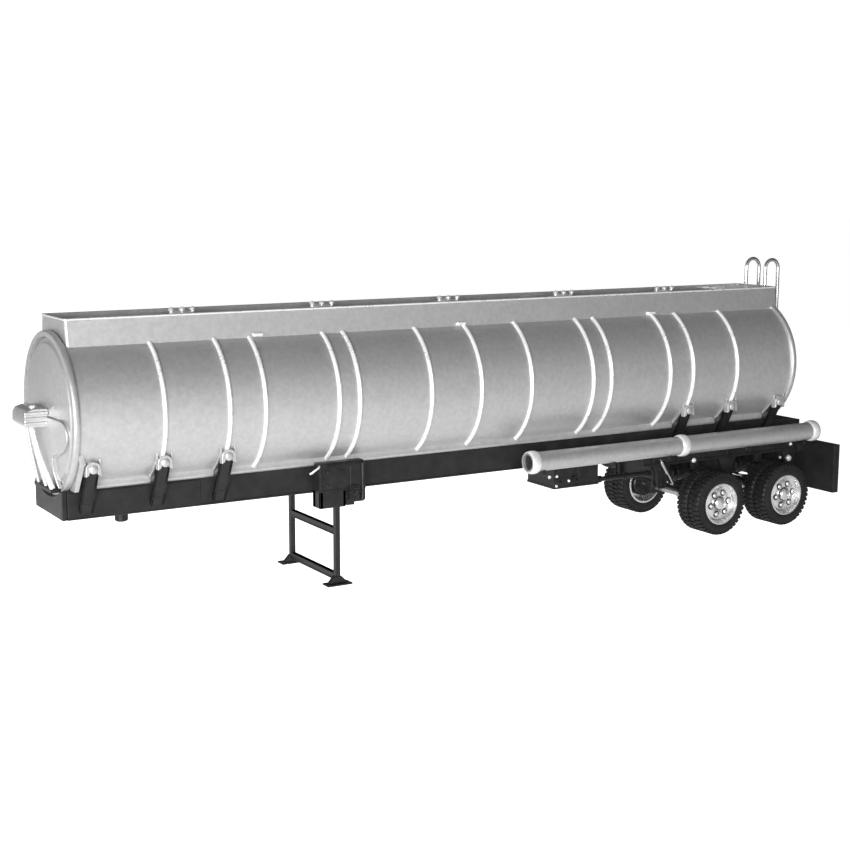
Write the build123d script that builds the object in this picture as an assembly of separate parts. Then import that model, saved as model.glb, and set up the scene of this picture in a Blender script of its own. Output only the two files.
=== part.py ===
from build123d import *
import os
from math import cos, pi, sin, sqrt

# Scale-model road tank semi-trailer, 1:87, built up from the pieces it comes apart into.
# +X runs to the rear, +Y to the right-hand side, +Z up. The origin is under the middle of the
# trailer's box, on the surface that the tyres and the landing feet stand on. Millimetres.

# --- overall -------------------------------------------------------------------------------
LENGTH = 158.2
WIDTH = 28.8
HEIGHT = 51.0
NOSE_X = -LENGTH / 2
TAIL_X = LENGTH / 2

# --- tank ----------------------------------------------------------------------------------
TANK_Z = 30.95
BARREL_R = 12.05
BARREL_WALL = 0.9
RIM_R = 12.55
RIM_WIDTH = 1.05
RIM_LAND = 0.9
RIM_FRONT_X = -74.6
RIM_REAR_X = 68.4
HEAD_RECESS = 0.3
HEAD_BULGE = 1.3
RING_WIDTH = 0.9
RING_X = (-60.4, -49.9, -43.9, -31.0, -27.3, -13.75, -3.9, 6.4, 19.65, 23.65, 37.25, 42.7, 53.5)
BASE_RAIL_Y = 7.2

# --- spill coaming on top --------------------------------------------------------------------
COAMING_FRONT_X = -73.3
COAMING_REAR_X = 69.0
COAMING_TOP_Y = 5.4
COAMING_FOOT_Y = 6.1
COAMING_TOP = 45.6
COAMING_BOTTOM = 41.0
COAMING_WALL = 0.7
FLOOR_THICK = 0.5
WALKWAY_X = (59.3, COAMING_REAR_X - COAMING_WALL)
WALKWAY_Z = (44.9, 45.3)
MANHOLE_X = (-52.6, -27.9, -3.2, 21.6, 45.3)
MANHOLE_R = 2.0
MANHOLE_TOP = 46.2

# --- chassis ---------------------------------------------------------------------------------
FRAME_FRONT_X = -75.0
FRAME_REAR_X = 75.7
FRAME_Y = 6.65
FRAME_TOP = 20.0
FRAME_TAIL_TOP = 19.0
FRAME_BOTTOM = 15.5
RAIL_WEB = 0.9
RAIL_FLANGE = 2.2
FLANGE_THICK = 0.7
APRON_THICK = 0.8
KINGPIN_X = -63.5
KINGPIN_R = 1.05
KINGPIN_NECK_R = 0.85
KINGPIN_NECK = 0.2
KINGPIN_HEAD_R = 2.2
KINGPIN_HEAD = 0.6
KINGPIN_BOTTOM = 13.0
COUPLER_REAR_X = -48.0
COUPLER_THICK = 0.8
COUPLER_RECESS_R = 1.5
COUPLER_RECESS = 0.2
CROSSMEMBER_X = (-56.0, -36.0, -18.0, 0.0, 14.0, 34.0, 48.0, 61.0)

# --- saddle brackets ---------------------------------------------------------------------------
SADDLE_X = (-71.4, -60.2, -49.8, 43.0, 53.6, 65.8)
SADDLE_WIDTH = 2.2
SADDLE_OUT_Y = 10.4
PAD_WIDTH = 2.8
PAD_THICK = 0.5

# --- landing gear --------------------------------------------------------------------------------
LEG_X = -29.8
LEG_Y = 8.3
LEG_SIZE = 0.9
LEG_TOP = 14.9
LEG_TRAVEL = 5.0
LEG_CLEARANCE = 0.1
BRACE_THICK = 0.8
UPPER_BRACE_Z = (8.4, 9.5)
LOWER_BRACE_Z = (0.8, 1.9)
HOUSING_X = (-33.3, -25.0)
HOUSING_Y = 9.3
HOUSING_Z = (13.2, 20.6)

# --- running gear --------------------------------------------------------------------------------
AXLE_X = (48.74, 65.31)
AXLE_NAMES = ("front", "rear")
TYRE_R = 6.0
TYRE_WIDTH = 3.0
TYRE_OUTER_Y = 14.33
TYRE_GAP = 0.22
TYRE_EDGE = 0.45
RIM_SEAT_R = 3.9
WHEEL_RIM_WALL = 0.45
DRUM_R = 2.2
AXLE_R = 0.65
BEARING_CLEARANCE = 0.07
BLOCK_Y = (4.9, 6.7)
SPRING_Y = (5.2, 6.4)
SPRING_HALF = 6.9
HANGER_Y = (4.9, 6.5)
HANGER_LENGTH = 2.4
CROSS_THICK = 1.0
SUBFRAME_BOTTOM = 12.9
SUBFRAME_FRONT_X = 36.0
SUBFRAME_INSET = 0.15
SUBFRAME_TAIL = 0.6

# --- side tube, cabinet, flap ----------------------------------------------------------------------
HOSE_Y = -12.0
HOSE_Z = 17.6
HOSE_R = 1.7
HOSE_X = (5.7, 74.3)
HOSE_JOINT_X = 40.35
HOSE_BRACKET_X = (8.6, 24.0, 37.0, 56.0, 71.0)
HOSE_BRACKET_THICK = 1.0
COLLAR_R = 2.05
COLLAR_WIDTH = 1.0
CABINET_X = (17.1, 27.2)
CABINET_Y = 4.28
CABINET_BOTTOM = 10.3
FLAP_THICK = 1.6
FLAP_Z = (5.1, 14.7)
LADDER_Y = 2.65
WIRE_R = 0.35
RUNG_R = 0.3
LADDER_FRONT_X = 68.65
LADDER_REAR_X = 72.0
LADDER_FOOT_Z = FRAME_TAIL_TOP


# --- helpers ---------------------------------------------------------------------------------------
def block(x, y, z):
    """Box between two limits on each axis."""
    size = [b - a for a, b in (x, y, z)]
    middle = [(a + b) / 2 for a, b in (x, y, z)]
    return Pos(*middle) * Box(*size)


def rod(radius, start, end):
    """Round bar from one point to another."""
    line = Vector(*end) - Vector(*start)
    plane = Plane(origin=start, z_dir=line)
    return plane * Cylinder(radius, line.length, align=(Align.CENTER, Align.CENTER, Align.MIN))


def prism_x(points, x):
    """Outline in Y and Z, carried from one X to another."""
    face = make_face(Plane.YZ * Polyline(*points, close=True))
    return extrude(Pos(x[0], 0, 0) * face, amount=x[1] - x[0], dir=(1, 0, 0))


def prism_y(points, y):
    """Outline in X and Z, carried from one Y to another."""
    outline = [(px, y[0], pz) for px, pz in points]
    return extrude(make_face(Polyline(*outline, close=True)), amount=y[1] - y[0], dir=(0, 1, 0))


def drum(radius, x):
    """Solid cylinder on the tank's axis."""
    return rod(radius, (x[0], 0, TANK_Z), (x[1], 0, TANK_Z))


def turned(profile, x):
    """Solid turned about a wheel's axle; the profile gives (distance along Y, radius)."""
    outline = [(x + radius, along, TYRE_R) for along, radius in profile]
    axis = Axis((x, 0, TYRE_R), (0, 1, 0))
    return revolve(make_face(Polyline(*outline, close=True)), axis)


def mirrored(shape):
    """The same piece on the other side of the trailer."""
    return mirror(shape, about=Plane.XZ)


def pair(shape):
    return [shape, mirrored(shape)]


def write(name, *shapes):
    """One STEP per node; a node of several solids is written as a group."""
    solids = [solid for shape in shapes for solid in shape.solids()]
    group = solids[0] if len(solids) == 1 else Compound(solids)
    export_step(group, f"parts/{name}.step")


# --- tank ------------------------------------------------------------------------------------------
def end_rim_x():
    front = (RIM_FRONT_X, RIM_FRONT_X + RIM_WIDTH)
    rear = (RIM_REAR_X - RIM_WIDTH, RIM_REAR_X)
    return front, rear


def ring_x(x):
    return x - RING_WIDTH / 2, x + RING_WIDTH / 2


def head(face_x, barrel_end_x):
    """Dished end disc: flat back against the barrel, its dome bulging out of the rim."""
    radius = RIM_R - RIM_LAND
    out = 1 if face_x > barrel_end_x else -1
    base_x = face_x - out * HEAD_RECESS
    sphere_r = (radius**2 + HEAD_BULGE**2) / (2 * HEAD_BULGE)
    ball = Pos(base_x + out * (HEAD_BULGE - sphere_r), 0, TANK_Z) * Sphere(sphere_r)
    reach = sorted((barrel_end_x, base_x + out * HEAD_BULGE))
    return drum(radius, reach) & ball


def make_tank():
    front, rear = end_rim_x()
    barrel_x = (front[1], rear[0])
    barrel = drum(BARREL_R, barrel_x) - drum(BARREL_R - BARREL_WALL, barrel_x)
    coaming_x = (COAMING_FRONT_X, COAMING_REAR_X)
    under_coaming = block(coaming_x, (-COAMING_FOOT_Y, COAMING_FOOT_Y), (TANK_Z, HEIGHT))
    on_frame = block((NOSE_X, TAIL_X), (-BASE_RAIL_Y, BASE_RAIL_Y), (0, TANK_Z))

    def band(x, inner):
        return drum(RIM_R, x) - drum(inner, x)

    rims = [band(x, RIM_R - RIM_LAND) for x in (front, rear)]
    rims[1] -= under_coaming
    rings = [band(ring_x(x), BARREL_R) - under_coaming - on_frame for x in RING_X]

    rail_top = TANK_Z - sqrt(BARREL_R**2 - BASE_RAIL_Y**2)
    base_rail = block(barrel_x, (FRAME_Y - RAIL_WEB, BASE_RAIL_Y), (FRAME_TOP, rail_top))
    base_rail -= drum(BARREL_R, barrel_x)

    write("tank_barrel", barrel)
    write("tank_head_front", head(front[0], front[1]))
    write("tank_head_rear", head(rear[1], rear[0]))
    write("tank_end_rims", *rims)
    write("tank_rings", *rings)
    write("tank_base_rails", *pair(base_rail))


def make_nose():
    """Raised guard panel, lamp box and wiring conduits on the front head."""
    front, _ = end_rim_x()
    dome = head(front[0], front[1])
    guard_thick, guard_half, guard_top, corner = 0.45, 10.2, 30.8, 2.2
    guard_r = RIM_R - RIM_LAND - 0.5
    box_half, box_z, box_depth = 3.4, (29.4, 32.2), 4.6

    window = block((NOSE_X, front[1]), (-guard_half, guard_half), (TANK_Z - RIM_R, guard_top))
    corners = window.edges().filter_by(Axis.X).group_by(Axis.Z)[-1]
    window = fillet(corners, corner) & drum(guard_r, (NOSE_X, front[1]))
    lamp_box = block((NOSE_X, NOSE_X + box_depth), (-box_half, box_half), box_z) - dome
    guard = (Pos(-guard_thick, 0, 0) * dome & window) - dome - lamp_box
    write("nose_guard_panel", guard)
    write("nose_lamp_box", lamp_box)

    conduit_r, knee_z, foot_z = 0.45, 26.4, 20.3
    clip_x = (-76.1, RIM_FRONT_X)
    conduits = [block(clip_x, (-5.2, 3.0), (foot_z - 0.7, foot_z)) - guard]
    for start_y, knee_y, end_y in ((-1.6, -2.7, -4.6), (0.3, -0.4, -1.8), (2.2, 2.1, 1.9)):
        top = (NOSE_X + 1.5, start_y, box_z[0])
        knee = (NOSE_X + 2.3, knee_y, knee_z)
        foot = (clip_x[0] + conduit_r, end_y, foot_z)
        tube = rod(conduit_r, top, knee) + Pos(*knee) * Sphere(conduit_r) + rod(conduit_r, knee, foot)
        tube &= block((NOSE_X, TAIL_X), (-FRAME_Y, FRAME_Y), (foot_z, box_z[0]))
        conduits.append(tube - guard)
    write("nose_conduits", *conduits)


def coaming_inner(z):
    """Half-width inside the coaming, whose sides lean in towards the top."""
    lean = (COAMING_FOOT_Y - COAMING_TOP_Y) / (COAMING_TOP - COAMING_BOTTOM)
    return COAMING_TOP_Y - COAMING_WALL + lean * (COAMING_TOP - z)


def across(z, x):
    """Slab that fills the coaming from side to side between two heights and two stations."""
    low, high = coaming_inner(z[0]), coaming_inner(z[1])
    return prism_x([(-low, z[0]), (low, z[0]), (high, z[1]), (-high, z[1])], x)


def make_coaming():
    x = (COAMING_FRONT_X, COAMING_REAR_X)
    inner_x = (x[0] + COAMING_WALL, x[1] - COAMING_WALL)
    height = (COAMING_BOTTOM, COAMING_TOP)
    tank = drum(BARREL_R, (NOSE_X, TAIL_X))
    foot, top = coaming_inner(COAMING_BOTTOM), coaming_inner(COAMING_TOP)
    section = [(foot, COAMING_BOTTOM), (foot + COAMING_WALL, COAMING_BOTTOM),
               (top + COAMING_WALL, COAMING_TOP), (top, COAMING_TOP)]
    side = prism_x(section, x) - tank
    ends = [across(height, span) - tank for span in ((x[0], inner_x[0]), (inner_x[1], x[1]))]
    floor_z = TANK_Z + BARREL_R
    write("coaming_walls", *pair(side), *ends)
    write("coaming_floor", across((floor_z, floor_z + FLOOR_THICK), inner_x))
    write("walkway_plate", across(WALKWAY_Z, WALKWAY_X))


def make_manholes():
    """Five round hatch covers in a row, each with three bright knobs along the top."""
    deck = TANK_Z + BARREL_R + FLOOR_THICK
    collar_h, lid_r, lid_h = 0.9, 1.65, 0.7
    knob_r, knob_pitch, knob_foot = 0.45, 1.8, 0.2
    lid_z = deck + collar_h
    for index, x in enumerate(MANHOLE_X, start=1):
        cover = rod(MANHOLE_R, (x, 0, deck), (x, 0, lid_z)) + rod(lid_r, (x, 0, lid_z), (x, 0, lid_z + lid_h))
        for knob_x in (x - knob_pitch, x, x + knob_pitch):
            cover += rod(knob_r, (knob_x, 0, deck + knob_foot), (knob_x, 0, MANHOLE_TOP))
        write(f"manhole_{index}", cover)


def make_ladder():
    """Rear ladder: each rail is one wire, over the coaming in a hoop and down to the frame."""
    radius = (LADDER_REAR_X - LADDER_FRONT_X) / 2
    hoop_z = HEIGHT - WIRE_R - radius
    rails = []
    for y in (-LADDER_Y, LADDER_Y):
        front_leg = Line((LADDER_FRONT_X, y, COAMING_TOP), (LADDER_FRONT_X, y, hoop_z))
        hoop = ThreePointArc((LADDER_FRONT_X, y, hoop_z), (LADDER_FRONT_X + radius, y, hoop_z + radius),
                             (LADDER_REAR_X, y, hoop_z))
        rear_leg = Line((LADDER_REAR_X, y, hoop_z), (LADDER_REAR_X, y, LADDER_FOOT_Z))
        start = Plane(origin=(LADDER_FRONT_X, y, COAMING_TOP), z_dir=(0, 0, 1)) * Circle(WIRE_R)
        rails.append(sweep(start, path=front_leg + hoop + rear_leg))
    first, pitch, count = 22.0, 3.6, 7
    heights = [first + n * pitch for n in range(count)]
    rungs = [rod(RUNG_R, (LADDER_REAR_X, -LADDER_Y, z), (LADDER_REAR_X, LADDER_Y, z)) for z in heights]
    rungs = [rung - rails[0] - rails[1] for rung in rungs]
    write("ladder_rails", *rails)
    write("ladder_rungs", *rungs)


# --- chassis -------------------------------------------------------------------------------------
def tank_envelope():
    front, rear = end_rim_x()
    return drum(BARREL_R, (front[0], rear[1])) + drum(RIM_R, front) + drum(RIM_R, rear)


def make_frame():
    """Two channel rails, the apron across their nose, crossmembers and the tail deck."""
    tank = tank_envelope()
    inner = FRAME_Y - RAIL_WEB
    lip = FRAME_Y - RAIL_FLANGE
    under_top, over_bottom = FRAME_TOP - FLANGE_THICK, FRAME_BOTTOM + FLANGE_THICK
    channel = [(FRAME_Y, FRAME_BOTTOM), (FRAME_Y, FRAME_TOP), (lip, FRAME_TOP), (lip, under_top),
               (inner, under_top), (inner, over_bottom), (lip, over_bottom), (lip, FRAME_BOTTOM)]
    rail = prism_x(channel, (FRAME_FRONT_X + APRON_THICK, FRAME_REAR_X)) - tank
    rail -= block((COAMING_REAR_X, FRAME_REAR_X), (0, FRAME_Y), (FRAME_TAIL_TOP, FRAME_TOP))
    apron_x = (FRAME_FRONT_X, FRAME_FRONT_X + APRON_THICK)
    apron = block(apron_x, (-FRAME_Y, FRAME_Y), (FRAME_BOTTOM, FRAME_TOP))
    front, _ = end_rim_x()
    apron -= drum(RIM_R, (FRAME_FRONT_X, front[1]))
    beam_half, beam_lift = 0.6, 0.4
    beam_z = (over_bottom + beam_lift, FRAME_TOP)
    members = [block((x - beam_half, x + beam_half), (-lip, lip), beam_z) - tank for x in CROSSMEMBER_X]
    deck_front_x, deck_thick, tail_thick = 70.0, 0.8, 1.2
    deck = block((deck_front_x, FRAME_REAR_X), (-lip, lip), (FRAME_TAIL_TOP - deck_thick, FRAME_TAIL_TOP))
    deck += block((FRAME_REAR_X - tail_thick, FRAME_REAR_X), (-lip, lip), (FRAME_BOTTOM, FRAME_TAIL_TOP))
    write("frame_rail_left", mirrored(rail))
    write("frame_rail_right", rail)
    write("frame_apron", apron)
    write("frame_crossmembers", *members)
    write("rear_deck", deck)


def make_coupler():
    """Coupler plate between the rails, recessed round the kingpin whose neck passes through it."""
    lip = FRAME_Y - RAIL_FLANGE
    top = FRAME_BOTTOM + COUPLER_THICK
    plate = block((FRAME_FRONT_X + APRON_THICK, COUPLER_REAR_X), (-lip, lip), (FRAME_BOTTOM, top))
    plate -= rod(KINGPIN_NECK_R, (KINGPIN_X, 0, FRAME_BOTTOM), (KINGPIN_X, 0, top))
    recess = FRAME_BOTTOM + COUPLER_RECESS
    plate -= rod(COUPLER_RECESS_R, (KINGPIN_X, 0, FRAME_BOTTOM), (KINGPIN_X, 0, recess))
    neck_z = FRAME_BOTTOM - KINGPIN_NECK
    tip_chamfer = 0.2
    pin = rod(KINGPIN_R, (KINGPIN_X, 0, KINGPIN_BOTTOM), (KINGPIN_X, 0, neck_z))
    pin = chamfer(pin.edges().group_by(Axis.Z)[0], tip_chamfer)
    pin += rod(KINGPIN_NECK_R, (KINGPIN_X, 0, neck_z), (KINGPIN_X, 0, top))
    pin += rod(KINGPIN_HEAD_R, (KINGPIN_X, 0, top), (KINGPIN_X, 0, top + KINGPIN_HEAD))
    write("coupler_plate", plate)
    write("kingpin", pin)


def make_saddles():
    """Gusset brackets outside the frame, each with a bright pad between it and the barrel."""
    outer = BARREL_R + PAD_THICK
    gusset_foot, gusset_top = FRAME_BOTTOM + 0.4, 23.4
    cap_y, cap_top, pad_foot = (9.3, 11.0), 24.9, 0.6
    gusset_outline = [(FRAME_Y, gusset_foot), (SADDLE_OUT_Y, gusset_top), (SADDLE_OUT_Y, TANK_Z),
                      (FRAME_Y, TANK_Z)]
    pad_outline = [(BASE_RAIL_Y, FRAME_TOP), (BASE_RAIL_Y + pad_foot, FRAME_TOP), (cap_y[1], cap_top),
                   (BASE_RAIL_Y, cap_top)]
    rings = [drum(RIM_R, ring_x(x)) for x in RING_X]
    gussets, pads = [], []
    for x in SADDLE_X:
        span = (x - SADDLE_WIDTH / 2, x + SADDLE_WIDTH / 2)
        pad_span = (x - PAD_WIDTH / 2, x + PAD_WIDTH / 2)
        cap = block(pad_span, cap_y, (gusset_top, cap_top))
        pad = prism_x(pad_outline, pad_span) & (drum(outer, pad_span) + cap)
        pad -= drum(BARREL_R, pad_span)
        gusset = prism_x(gusset_outline, span) - drum(outer, span) - pad
        gusset -= block(span, (0, BASE_RAIL_Y), (FRAME_TOP, TANK_Z))
        for ring in rings:
            pad -= ring
            gusset -= ring
        pads += pair(pad)
        gussets += pair(gusset)
    front, _ = end_rim_x()
    cradle_x = (front[1], SADDLE_X[0] - PAD_WIDTH / 2)
    cradle_top, cradle_y, cradle_foot = 24.6, 11.3, 1.0
    cradle_outline = [(BASE_RAIL_Y, FRAME_TOP), (BASE_RAIL_Y + cradle_foot, FRAME_TOP),
                      (cradle_y, cradle_top), (BASE_RAIL_Y, cradle_top)]
    pads += pair(prism_x(cradle_outline, cradle_x) - drum(BARREL_R, cradle_x))
    write("saddle_brackets", *gussets)
    write("saddle_pads", *pads)


# --- landing gear ----------------------------------------------------------------------------------
def leg_housing():
    """Box that a leg slides up into, open at the bottom, with a slot for the upper brace."""
    shaft = LEG_SIZE / 2 + LEG_CLEARANCE
    slot, headroom = BRACE_THICK / 2 + 0.2, 0.3
    step_x, step_height = LEG_X + 1.4, 0.8
    low, top = HOUSING_Z
    housing = block(HOUSING_X, (FRAME_Y, HOUSING_Y), HOUSING_Z)
    housing -= block((step_x, HOUSING_X[1]), (FRAME_Y, HOUSING_Y), (low, low + step_height))
    housing -= block((LEG_X - shaft, LEG_X + shaft), (LEG_Y - shaft, LEG_Y + shaft),
                     (0, LEG_TOP + LEG_TRAVEL + headroom))
    housing -= block((LEG_X - slot, LEG_X + slot), (0, LEG_Y), (0, UPPER_BRACE_Z[1] + LEG_TRAVEL + headroom))
    housing -= block(HOUSING_X, (FRAME_Y, BASE_RAIL_Y), (FRAME_TOP, top))
    housing -= drum(BARREL_R, HOUSING_X)
    for x in RING_X:
        housing -= drum(RIM_R, ring_x(x))
    return housing


def make_landing_gear():
    """Two legs with feet, tied by two braces, that slide together in their housings."""
    half = LEG_SIZE / 2
    housing = leg_housing()
    cover_x, cover_z, cover_thick = (-28.0, -26.3), (14.4, 16.6), 0.5
    shaft_at, shaft_r, shaft_length = (-27.2, 15.6), 0.35, 1.2
    face = HOUSING_Y
    gearbox = block(cover_x, (face, face + cover_thick), cover_z)
    gearbox += rod(shaft_r, (shaft_at[0], face, shaft_at[1]), (shaft_at[0], face + shaft_length, shaft_at[1]))
    foot_half, foot_edge, foot_top, foot_y = 2.3, 0.5, 1.6, (LEG_Y - 0.9, LEG_Y + 1.3)
    foot_outline = [(LEG_X - foot_half, 0), (LEG_X + foot_half, 0), (LEG_X + foot_half, foot_edge),
                    (LEG_X + half, foot_top), (LEG_X - half, foot_top), (LEG_X - foot_half, foot_edge)]
    foot = prism_y(foot_outline, foot_y)
    leg = block((LEG_X - half, LEG_X + half), (LEG_Y - half, LEG_Y + half), (foot_top, LEG_TOP))
    brace_x = (LEG_X - BRACE_THICK / 2, LEG_X + BRACE_THICK / 2)
    brace_y = (half - LEG_Y, LEG_Y - half)
    write("leg_housing_left", mirrored(housing))
    write("leg_housing_right", housing)
    write("leg_gearbox", mirrored(gearbox))
    write("landing_leg_left", mirrored(leg))
    write("landing_leg_right", leg)
    write("landing_feet", *pair(foot))
    write("landing_brace_upper", block(brace_x, brace_y, UPPER_BRACE_Z))
    write("landing_brace_lower", block(brace_x, brace_y, LOWER_BRACE_Z) - foot - mirrored(foot))


# --- running gear ------------------------------------------------------------------------------------
def tyre(x, outer_y):
    """One tyre of a dual pair, with rounded shoulders."""
    inner_y = outer_y - TYRE_WIDTH
    body = rod(TYRE_R, (x, inner_y, TYRE_R), (x, outer_y, TYRE_R))
    body = fillet(body.edges(), TYRE_EDGE)
    body -= rod(RIM_SEAT_R, (x, inner_y, TYRE_R), (x, outer_y, TYRE_R))
    return body


def outer_rim(x):
    """Bright dished wheel with a hub and round hand holes, seated in the outer tyre."""
    face = TYRE_OUTER_Y - 0.1
    back = TYRE_OUTER_Y - TYRE_WIDTH
    wall = RIM_SEAT_R - WHEEL_RIM_WALL
    hub_r, disc_front, disc_back = 1.25, face - 0.9, face - 1.35
    bore_y = face - 0.9
    profile = [(back - TYRE_GAP / 2, AXLE_R), (back - TYRE_GAP / 2, DRUM_R), (disc_back, DRUM_R),
               (disc_back, wall), (back, wall), (back, RIM_SEAT_R), (face, RIM_SEAT_R), (face, wall),
               (disc_front, wall - 0.3), (disc_front, hub_r), (face - 0.1, hub_r - 0.25), (face - 0.1, 0),
               (bore_y, 0), (bore_y, AXLE_R)]
    wheel = turned(profile, x)
    hole_count, hole_ring, hole_r, hole_floor = 8, 2.35, 0.42, 0.15
    for n in range(hole_count):
        angle = 2 * pi * n / hole_count
        hx, hz = x + hole_ring * cos(angle), TYRE_R + hole_ring * sin(angle)
        wheel -= rod(hole_r, (hx, disc_back + hole_floor, hz), (hx, face, hz))
    return wheel


def inner_rim(x):
    """Bright dished wheel of the inner tyre, open towards the middle of the trailer."""
    outer = TYRE_OUTER_Y - TYRE_WIDTH - TYRE_GAP
    inner = outer - TYRE_WIDTH + 0.1
    wall = RIM_SEAT_R - WHEEL_RIM_WALL
    disc = (outer - 0.9, outer + TYRE_GAP / 2)
    profile = [(disc[1], AXLE_R), (disc[1], DRUM_R), (outer, DRUM_R), (outer, RIM_SEAT_R),
               (inner, RIM_SEAT_R), (inner, wall), (disc[0], wall - 0.2), (disc[0], AXLE_R)]
    return turned(profile, x)


def make_wheels():
    outer_y = TYRE_OUTER_Y
    inner_y = TYRE_OUTER_Y - TYRE_WIDTH - TYRE_GAP
    axle_end = TYRE_OUTER_Y - 1.0
    for name, x in zip(AXLE_NAMES, AXLE_X):
        write(f"{name}_axle", rod(AXLE_R, (x, -axle_end, TYRE_R), (x, axle_end, TYRE_R)))
        tyres = [tyre(x, outer_y), tyre(x, inner_y)]
        write(f"{name}_tyres_right", *tyres)
        write(f"{name}_tyres_left", *[mirrored(each) for each in tyres])
        write(f"{name}_outer_rims", *pair(outer_rim(x)))
        write(f"{name}_inner_rims", *pair(inner_rim(x)))


def leaf(x, half, thick, seat_z, rise, y):
    """One leaf: an arc that is lowest over the axle."""
    low = [(x - half, y[0], seat_z + rise), (x, y[0], seat_z), (x + half, y[0], seat_z + rise)]
    high = [(px, py, pz + thick) for px, py, pz in low]
    outline = [ThreePointArc(*low), Line(low[2], high[2]), ThreePointArc(*high[::-1]), Line(high[0], low[0])]
    return extrude(make_face(outline), amount=y[1] - y[0], dir=(0, 1, 0))


def make_suspension():
    """Leaf springs over the axle bearings, hung between three pairs of hangers."""
    seat_z, rise, leaf_thick = 7.7, 1.6, 0.9
    bearing_half, bearing_bottom = 1.2, 4.7
    arm_thick, arm_front = 0.7, SPRING_HALF + 1.1
    blocks, springs, arms = [], [], []
    for x in AXLE_X:
        bearing = block((x - bearing_half, x + bearing_half), BLOCK_Y, (bearing_bottom, seat_z))
        bore = rod(AXLE_R + BEARING_CLEARANCE, (x, BLOCK_Y[0], TYRE_R), (x, BLOCK_Y[1], TYRE_R))
        blocks += pair(bearing - bore)
        springs += pair(leaf(x, SPRING_HALF, leaf_thick, seat_z, rise, SPRING_Y))
        arm = [(x - arm_front - 0.5, 8.9), (x - arm_front + 0.5, 9.7), (x - 0.4, 7.6), (x - 0.9, 6.9)]
        arms += pair(prism_y(arm, (BLOCK_Y[0] - arm_thick, BLOCK_Y[0])))
    hanger_foot, hanger_waist, flare, cross_bottom = 8.4, 11.2, 0.8, 9.9
    spans = [(AXLE_X[0] - SPRING_HALF - HANGER_LENGTH, AXLE_X[0] - SPRING_HALF),
             (AXLE_X[0] + SPRING_HALF, AXLE_X[1] - SPRING_HALF),
             (AXLE_X[1] + SPRING_HALF, AXLE_X[1] + SPRING_HALF + HANGER_LENGTH)]
    hangers, cross = [], []
    for a, b in spans:
        outline = [(a - flare, SUBFRAME_BOTTOM), (b + flare, SUBFRAME_BOTTOM), (b, hanger_waist),
                   (b, hanger_foot), (a, hanger_foot), (a, hanger_waist)]
        hangers += pair(prism_y(outline, HANGER_Y))
        cross_x = ((a + b - CROSS_THICK) / 2, (a + b + CROSS_THICK) / 2)
        cross.append(block(cross_x, (-HANGER_Y[0], HANGER_Y[0]), (cross_bottom, FRAME_BOTTOM)))
    rail_y = (HANGER_Y[0], FRAME_Y - SUBFRAME_INSET)
    rail_x = (SUBFRAME_FRONT_X, FRAME_REAR_X - SUBFRAME_TAIL)
    write("subframe_rails", *pair(block(rail_x, rail_y, (SUBFRAME_BOTTOM, FRAME_BOTTOM))))
    write("subframe_crossmembers", *cross)
    write("spring_hangers", *hangers)
    write("leaf_springs", *springs)
    write("axle_bearings", *blocks)
    write("torque_arms", *arms)


# --- fittings ----------------------------------------------------------------------------------------
def side_rod(radius, x):
    """Solid cylinder on the side tube's axis."""
    return rod(radius, (x[0], HOSE_Y, HOSE_Z), (x[1], HOSE_Y, HOSE_Z))


def make_side_tube():
    """Hose carrier on the left side: two tubes end to end, collars, end caps and brackets."""
    tube_wall, cap_depth, cap_thick = 0.3, 0.45, 0.6
    inner = HOSE_R - tube_wall
    halves = ((HOSE_X[0], HOSE_JOINT_X), (HOSE_JOINT_X, HOSE_X[1]))
    tubes = [side_rod(HOSE_R, x) - side_rod(inner, x) for x in halves]
    starts = (HOSE_X[0], HOSE_JOINT_X - COLLAR_WIDTH / 2, HOSE_X[1] - COLLAR_WIDTH)
    spans = [(start, start + COLLAR_WIDTH) for start in starts]
    front, rear = HOSE_X[0] + cap_depth, HOSE_X[1] - cap_depth
    cap_spans = ((front, front + cap_thick), (rear - cap_thick, rear))
    write("hose_tubes", *tubes)
    write("hose_tube_collars", *[side_rod(COLLAR_R, x) - side_rod(HOSE_R, x) for x in spans])
    write("hose_tube_caps", *[side_rod(inner, x) for x in cap_spans])

    half = HOSE_BRACKET_THICK / 2
    outline = [(-FRAME_Y, FRAME_BOTTOM + 0.3), (-FRAME_Y, FRAME_BOTTOM + 2.0), (HOSE_Y, HOSE_Z - 1.0),
               (HOSE_Y - 0.8, HOSE_Z - 2.4), (HOSE_Y + 1.2, HOSE_Z - 2.6)]
    arms = [prism_x(outline, (x - half, x + half)) - side_rod(HOSE_R, HOSE_X) for x in HOSE_BRACKET_X]
    write("hose_tube_brackets", *arms)


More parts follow.
